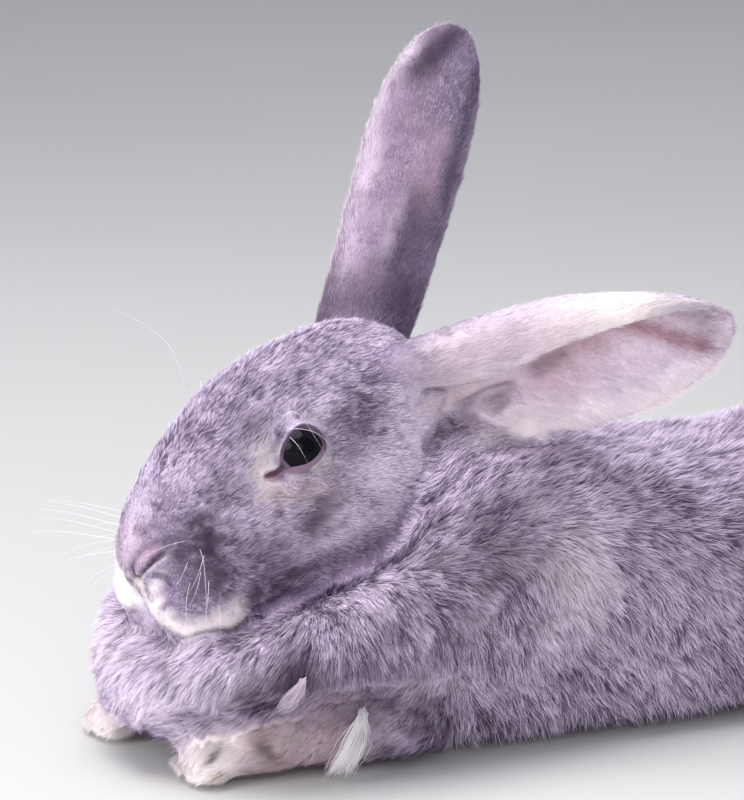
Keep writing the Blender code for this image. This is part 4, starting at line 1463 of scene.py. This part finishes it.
# Near whiskers and brow hairs, in tenths of a millimetre of head measures with the side turned positive.
WHISKERS = [
    [(214, 298, 91), (177, 358, 63), (113, 414, -1), (57, 441, -74), (-2, 442, -168)],
    [(141, 279, 66), (85, 310, 52), (24, 319, 28)],
    [(166, 305, 1), (91, 349, -31), (6, 359, -76)],
    [(104, 292, -12), (35, 330, -50), (-27, 363, -116), (-71, 380, -184)],
    [(149, 353, -158), (108, 393, -199), (49, 416, -266)],
    [(184, 261, 148), (92, 267, 190), (4, 254, 203), (-73, 237, 189)],
    [(215, 301, 52), (143, 342, 28), (63, 360, -7), (7, 354, -44)],
    [(184, 316, -38), (115, 370, -82), (50, 398, -142), (-13, 414, -247)],
]
BROW_HAIRS = [
    [(828, 322, 367), (860, 361, 392), (879, 407, 372), (871, 455, 302), (860, 512, 172)],
    [(823, 359, 324), (850, 425, 320), (883, 474, 284), (893, 506, 237), (883, 539, 148)],
    [(807, 369, 294), (792, 440, 267), (777, 483, 200)],
]
LONG_HAIR = [(744, 252, 470), (775, 291, 666), (750, 373, 788), (683, 478, 913)]


FAR_ROWS, FAR_PLACES = 4, 5


def build_whiskers():
    """Near whiskers hang down, far ones fan forward, and a few stiff hairs stand over each eye."""
    chance = np.random.default_rng(SEED)
    paths = [from_head(metres(line) * (1, -1, 1)) for line in WHISKERS + BROW_HAIRS]
    paths += [from_head(metres(line)) for line in BROW_HAIRS]
    for row in range(FAR_ROWS):
        for place in range(FAR_PLACES):
            root = np.array((0.007 + 0.0042 * place, 0.0215 + 0.0018 * place, 0.012 - 0.0068 * row))
            reach = chance.uniform(0.044, 0.066)
            fan = np.array((-0.42 + 0.05 * place, 1.0, 0.34 - 0.36 * row))
            way = unit(fan + chance.normal(size=3) * 0.10)
            sag = np.array((0.04, -0.06, -0.16)) * reach
            halfway = root + 0.5 * reach * way + 0.25 * sag
            paths.append(from_head(np.array([root - 0.003 * way, halfway, root + reach * way + sag])))
    paths.append(from_head(metres(LONG_HAIR)))
    threads("whiskers", paths, WHISKER_THICK, whisker_finish())


# Loose locks of moulted fur: (root, one end of the spread tips, its other end, count, colour).
WISPS = [
    ((-2205, -700, 315), (-2390, -690, 60), (-2290, -740, 60), 230, (0.99, 0.96, 1.00)),
    ((-2580, -835, 550), (-2672, -768, 412), (-2664, -774, 408), 60, (0.60, 0.50, 0.62)),
]


def build_wisps():
    """Two soft locks that have come away from the roll over the left forepaw."""
    chance = np.random.default_rng(SEED + 1)
    for number, (*corners, count, colour) in enumerate(WISPS):
        root, first, last = metres(corners)
        paths = []
        for place in chance.uniform(0, 1, count):
            start = root + chance.normal(size=3) * 0.0008
            end = first + place * (last - first) + chance.normal(size=3) * 0.0012
            end[2] = max(end[2], 0.002)
            swell = 0.5 * (start + end) + chance.normal(size=3) * 0.0016 + (0.0004, -0.0025, 0.0)
            paths.append([start, swell, end])
        finish = Finish("loose fur %d" % number)
        darker = (*(0.8 * part for part in colour), 1)
        shade = finish.mix(finish.noise(600, 2), darker, (*colour, 1))
        wool = finish.surface(shade, 0.7)
        threads("loose_lock_%d" % number, paths, WISP_THICK, wool, WISP_STEPS)


def build_claws():
    """Four blunt claws to a foot, nearly hidden by the toe hair."""
    paths = []
    for name in FEET:
        low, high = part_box(name)
        spread = 0.0085 if name.startswith("fore") else 0.0090
        for place in (-1.5, -0.5, 0.5, 1.5):
            x = low[0] + 0.0050 + 0.0020 * abs(place)
            y = (low[1] + high[1]) / 2 + spread * place
            paths.append([(x + 0.004, y, 0.0080), (x, y, 0.0066), (x - 0.0025, y, 0.0034)])
    threads("claws", paths, CLAW_THICK, claw_finish())


# ---------------------------------------------------------------- setting
FLOOR_HALF = 6.0
SKY = (0.90, 0.91, 1.0, 1)
SKY_STRENGTH = 0.60
# Lamps: name, place, what it points at, width, power, tint.
LAMPS = [
    ("sky light", (-0.5, 0.0, 1.9), (-0.1, 0, 0.1), 1.5, 36, (1.0, 0.98, 0.97)),
    ("front light", (-1.8, -0.2, 0.7), (-0.2, 0, 0.1), 1.1, 18, (1.0, 0.98, 0.97)),
    ("side light", (-0.9, -1.7, 0.8), (-0.2, 0, 0.1), 1.2, 9, (1.0, 0.97, 0.97)),
]
CAMERA_TURN = math.radians(-30)  # from straight off the rabbit's left side, towards its nose
CAMERA_LIFT = math.radians(12.8)
CAMERA_DISTANCE = 1.70
CAMERA_TARGET = (-0.1757, 0, 0.1536)
CAMERA_LENS = 168


def build_setting():
    """Pale floor, soft light from above and from the rabbit's left, and the camera."""
    corners = [(FLOOR_HALF * x, FLOOR_HALF * y, 0) for x, y in ((-1, -1), (1, -1), (1, 1), (-1, 1))]
    floor = link("studio_floor", mesh_from("floor", corners, [(0, 1, 2, 3)]))
    finish = Finish("studio floor")
    colour = finish.mix(finish.noise(1.5, 3), (0.52, 0.52, 0.52, 1), (0.58, 0.58, 0.575, 1))
    floor.data.materials.append(finish.surface(colour, 0.85))

    world = bpy.data.worlds.new("studio")
    bpy.context.scene.world = world
    world.use_nodes = True
    backdrop = world.node_tree.nodes["Background"]
    backdrop.inputs["Color"].default_value = SKY
    backdrop.inputs["Strength"].default_value = SKY_STRENGTH

    for name, place, aim, width, power, tint in LAMPS:
        lamp = bpy.data.lights.new(name, "AREA")
        lamp.shape = "DISK"
        lamp.size = width
        lamp.energy = power
        lamp.color = tint
        holder = link(name, lamp)
        holder.location = place
        holder.rotation_euler = (Vector(aim) - Vector(place)).to_track_quat("-Z", "Y").to_euler()

    camera = bpy.data.cameras.new("camera")
    camera.lens = CAMERA_LENS
    holder = link("camera", camera)
    level = math.cos(CAMERA_LIFT)
    back = Vector((math.sin(CAMERA_TURN) * level, -math.cos(CAMERA_TURN) * level, math.sin(CAMERA_LIFT)))
    holder.location = Vector(CAMERA_TARGET) + back * CAMERA_DISTANCE
    holder.rotation_euler = back.to_track_quat("Z", "Y").to_euler()
    bpy.context.scene.camera = holder
    bpy.context.scene.view_settings.view_transform = "Standard"


# ---------------------------------------------------------------- making everything
build_setting()
skin_surface, skin_owners, lid_gap = build_skin()
skin = link("skin", skin_surface.mesh)
skin.data.shade_smooth()
coat = Coat(skin_surface, skin_owners, lid_gap)
for mask_name, mask_values in coat.marks.items():
    write_mask(skin.data, mask_name, mask_values)


# Hair finishes: how far each varies over the body, and how dark its roots are.
FINISHES = {
    name: coat_finish(name, cloud, depth)
    for name, cloud, depth in (("coat", 0.50, 0.88), ("soft coat", 0.36, 0.74), ("ear velvet", 0.12, 0.40))
}
skin.data.materials.clear()
skin.data.materials.append(skin_finish())
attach(skin, "root")
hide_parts(*[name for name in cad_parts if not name.startswith("eye")])
grow_coat(coat)
build_eyes()
build_whiskers()
build_wisps()
build_claws()
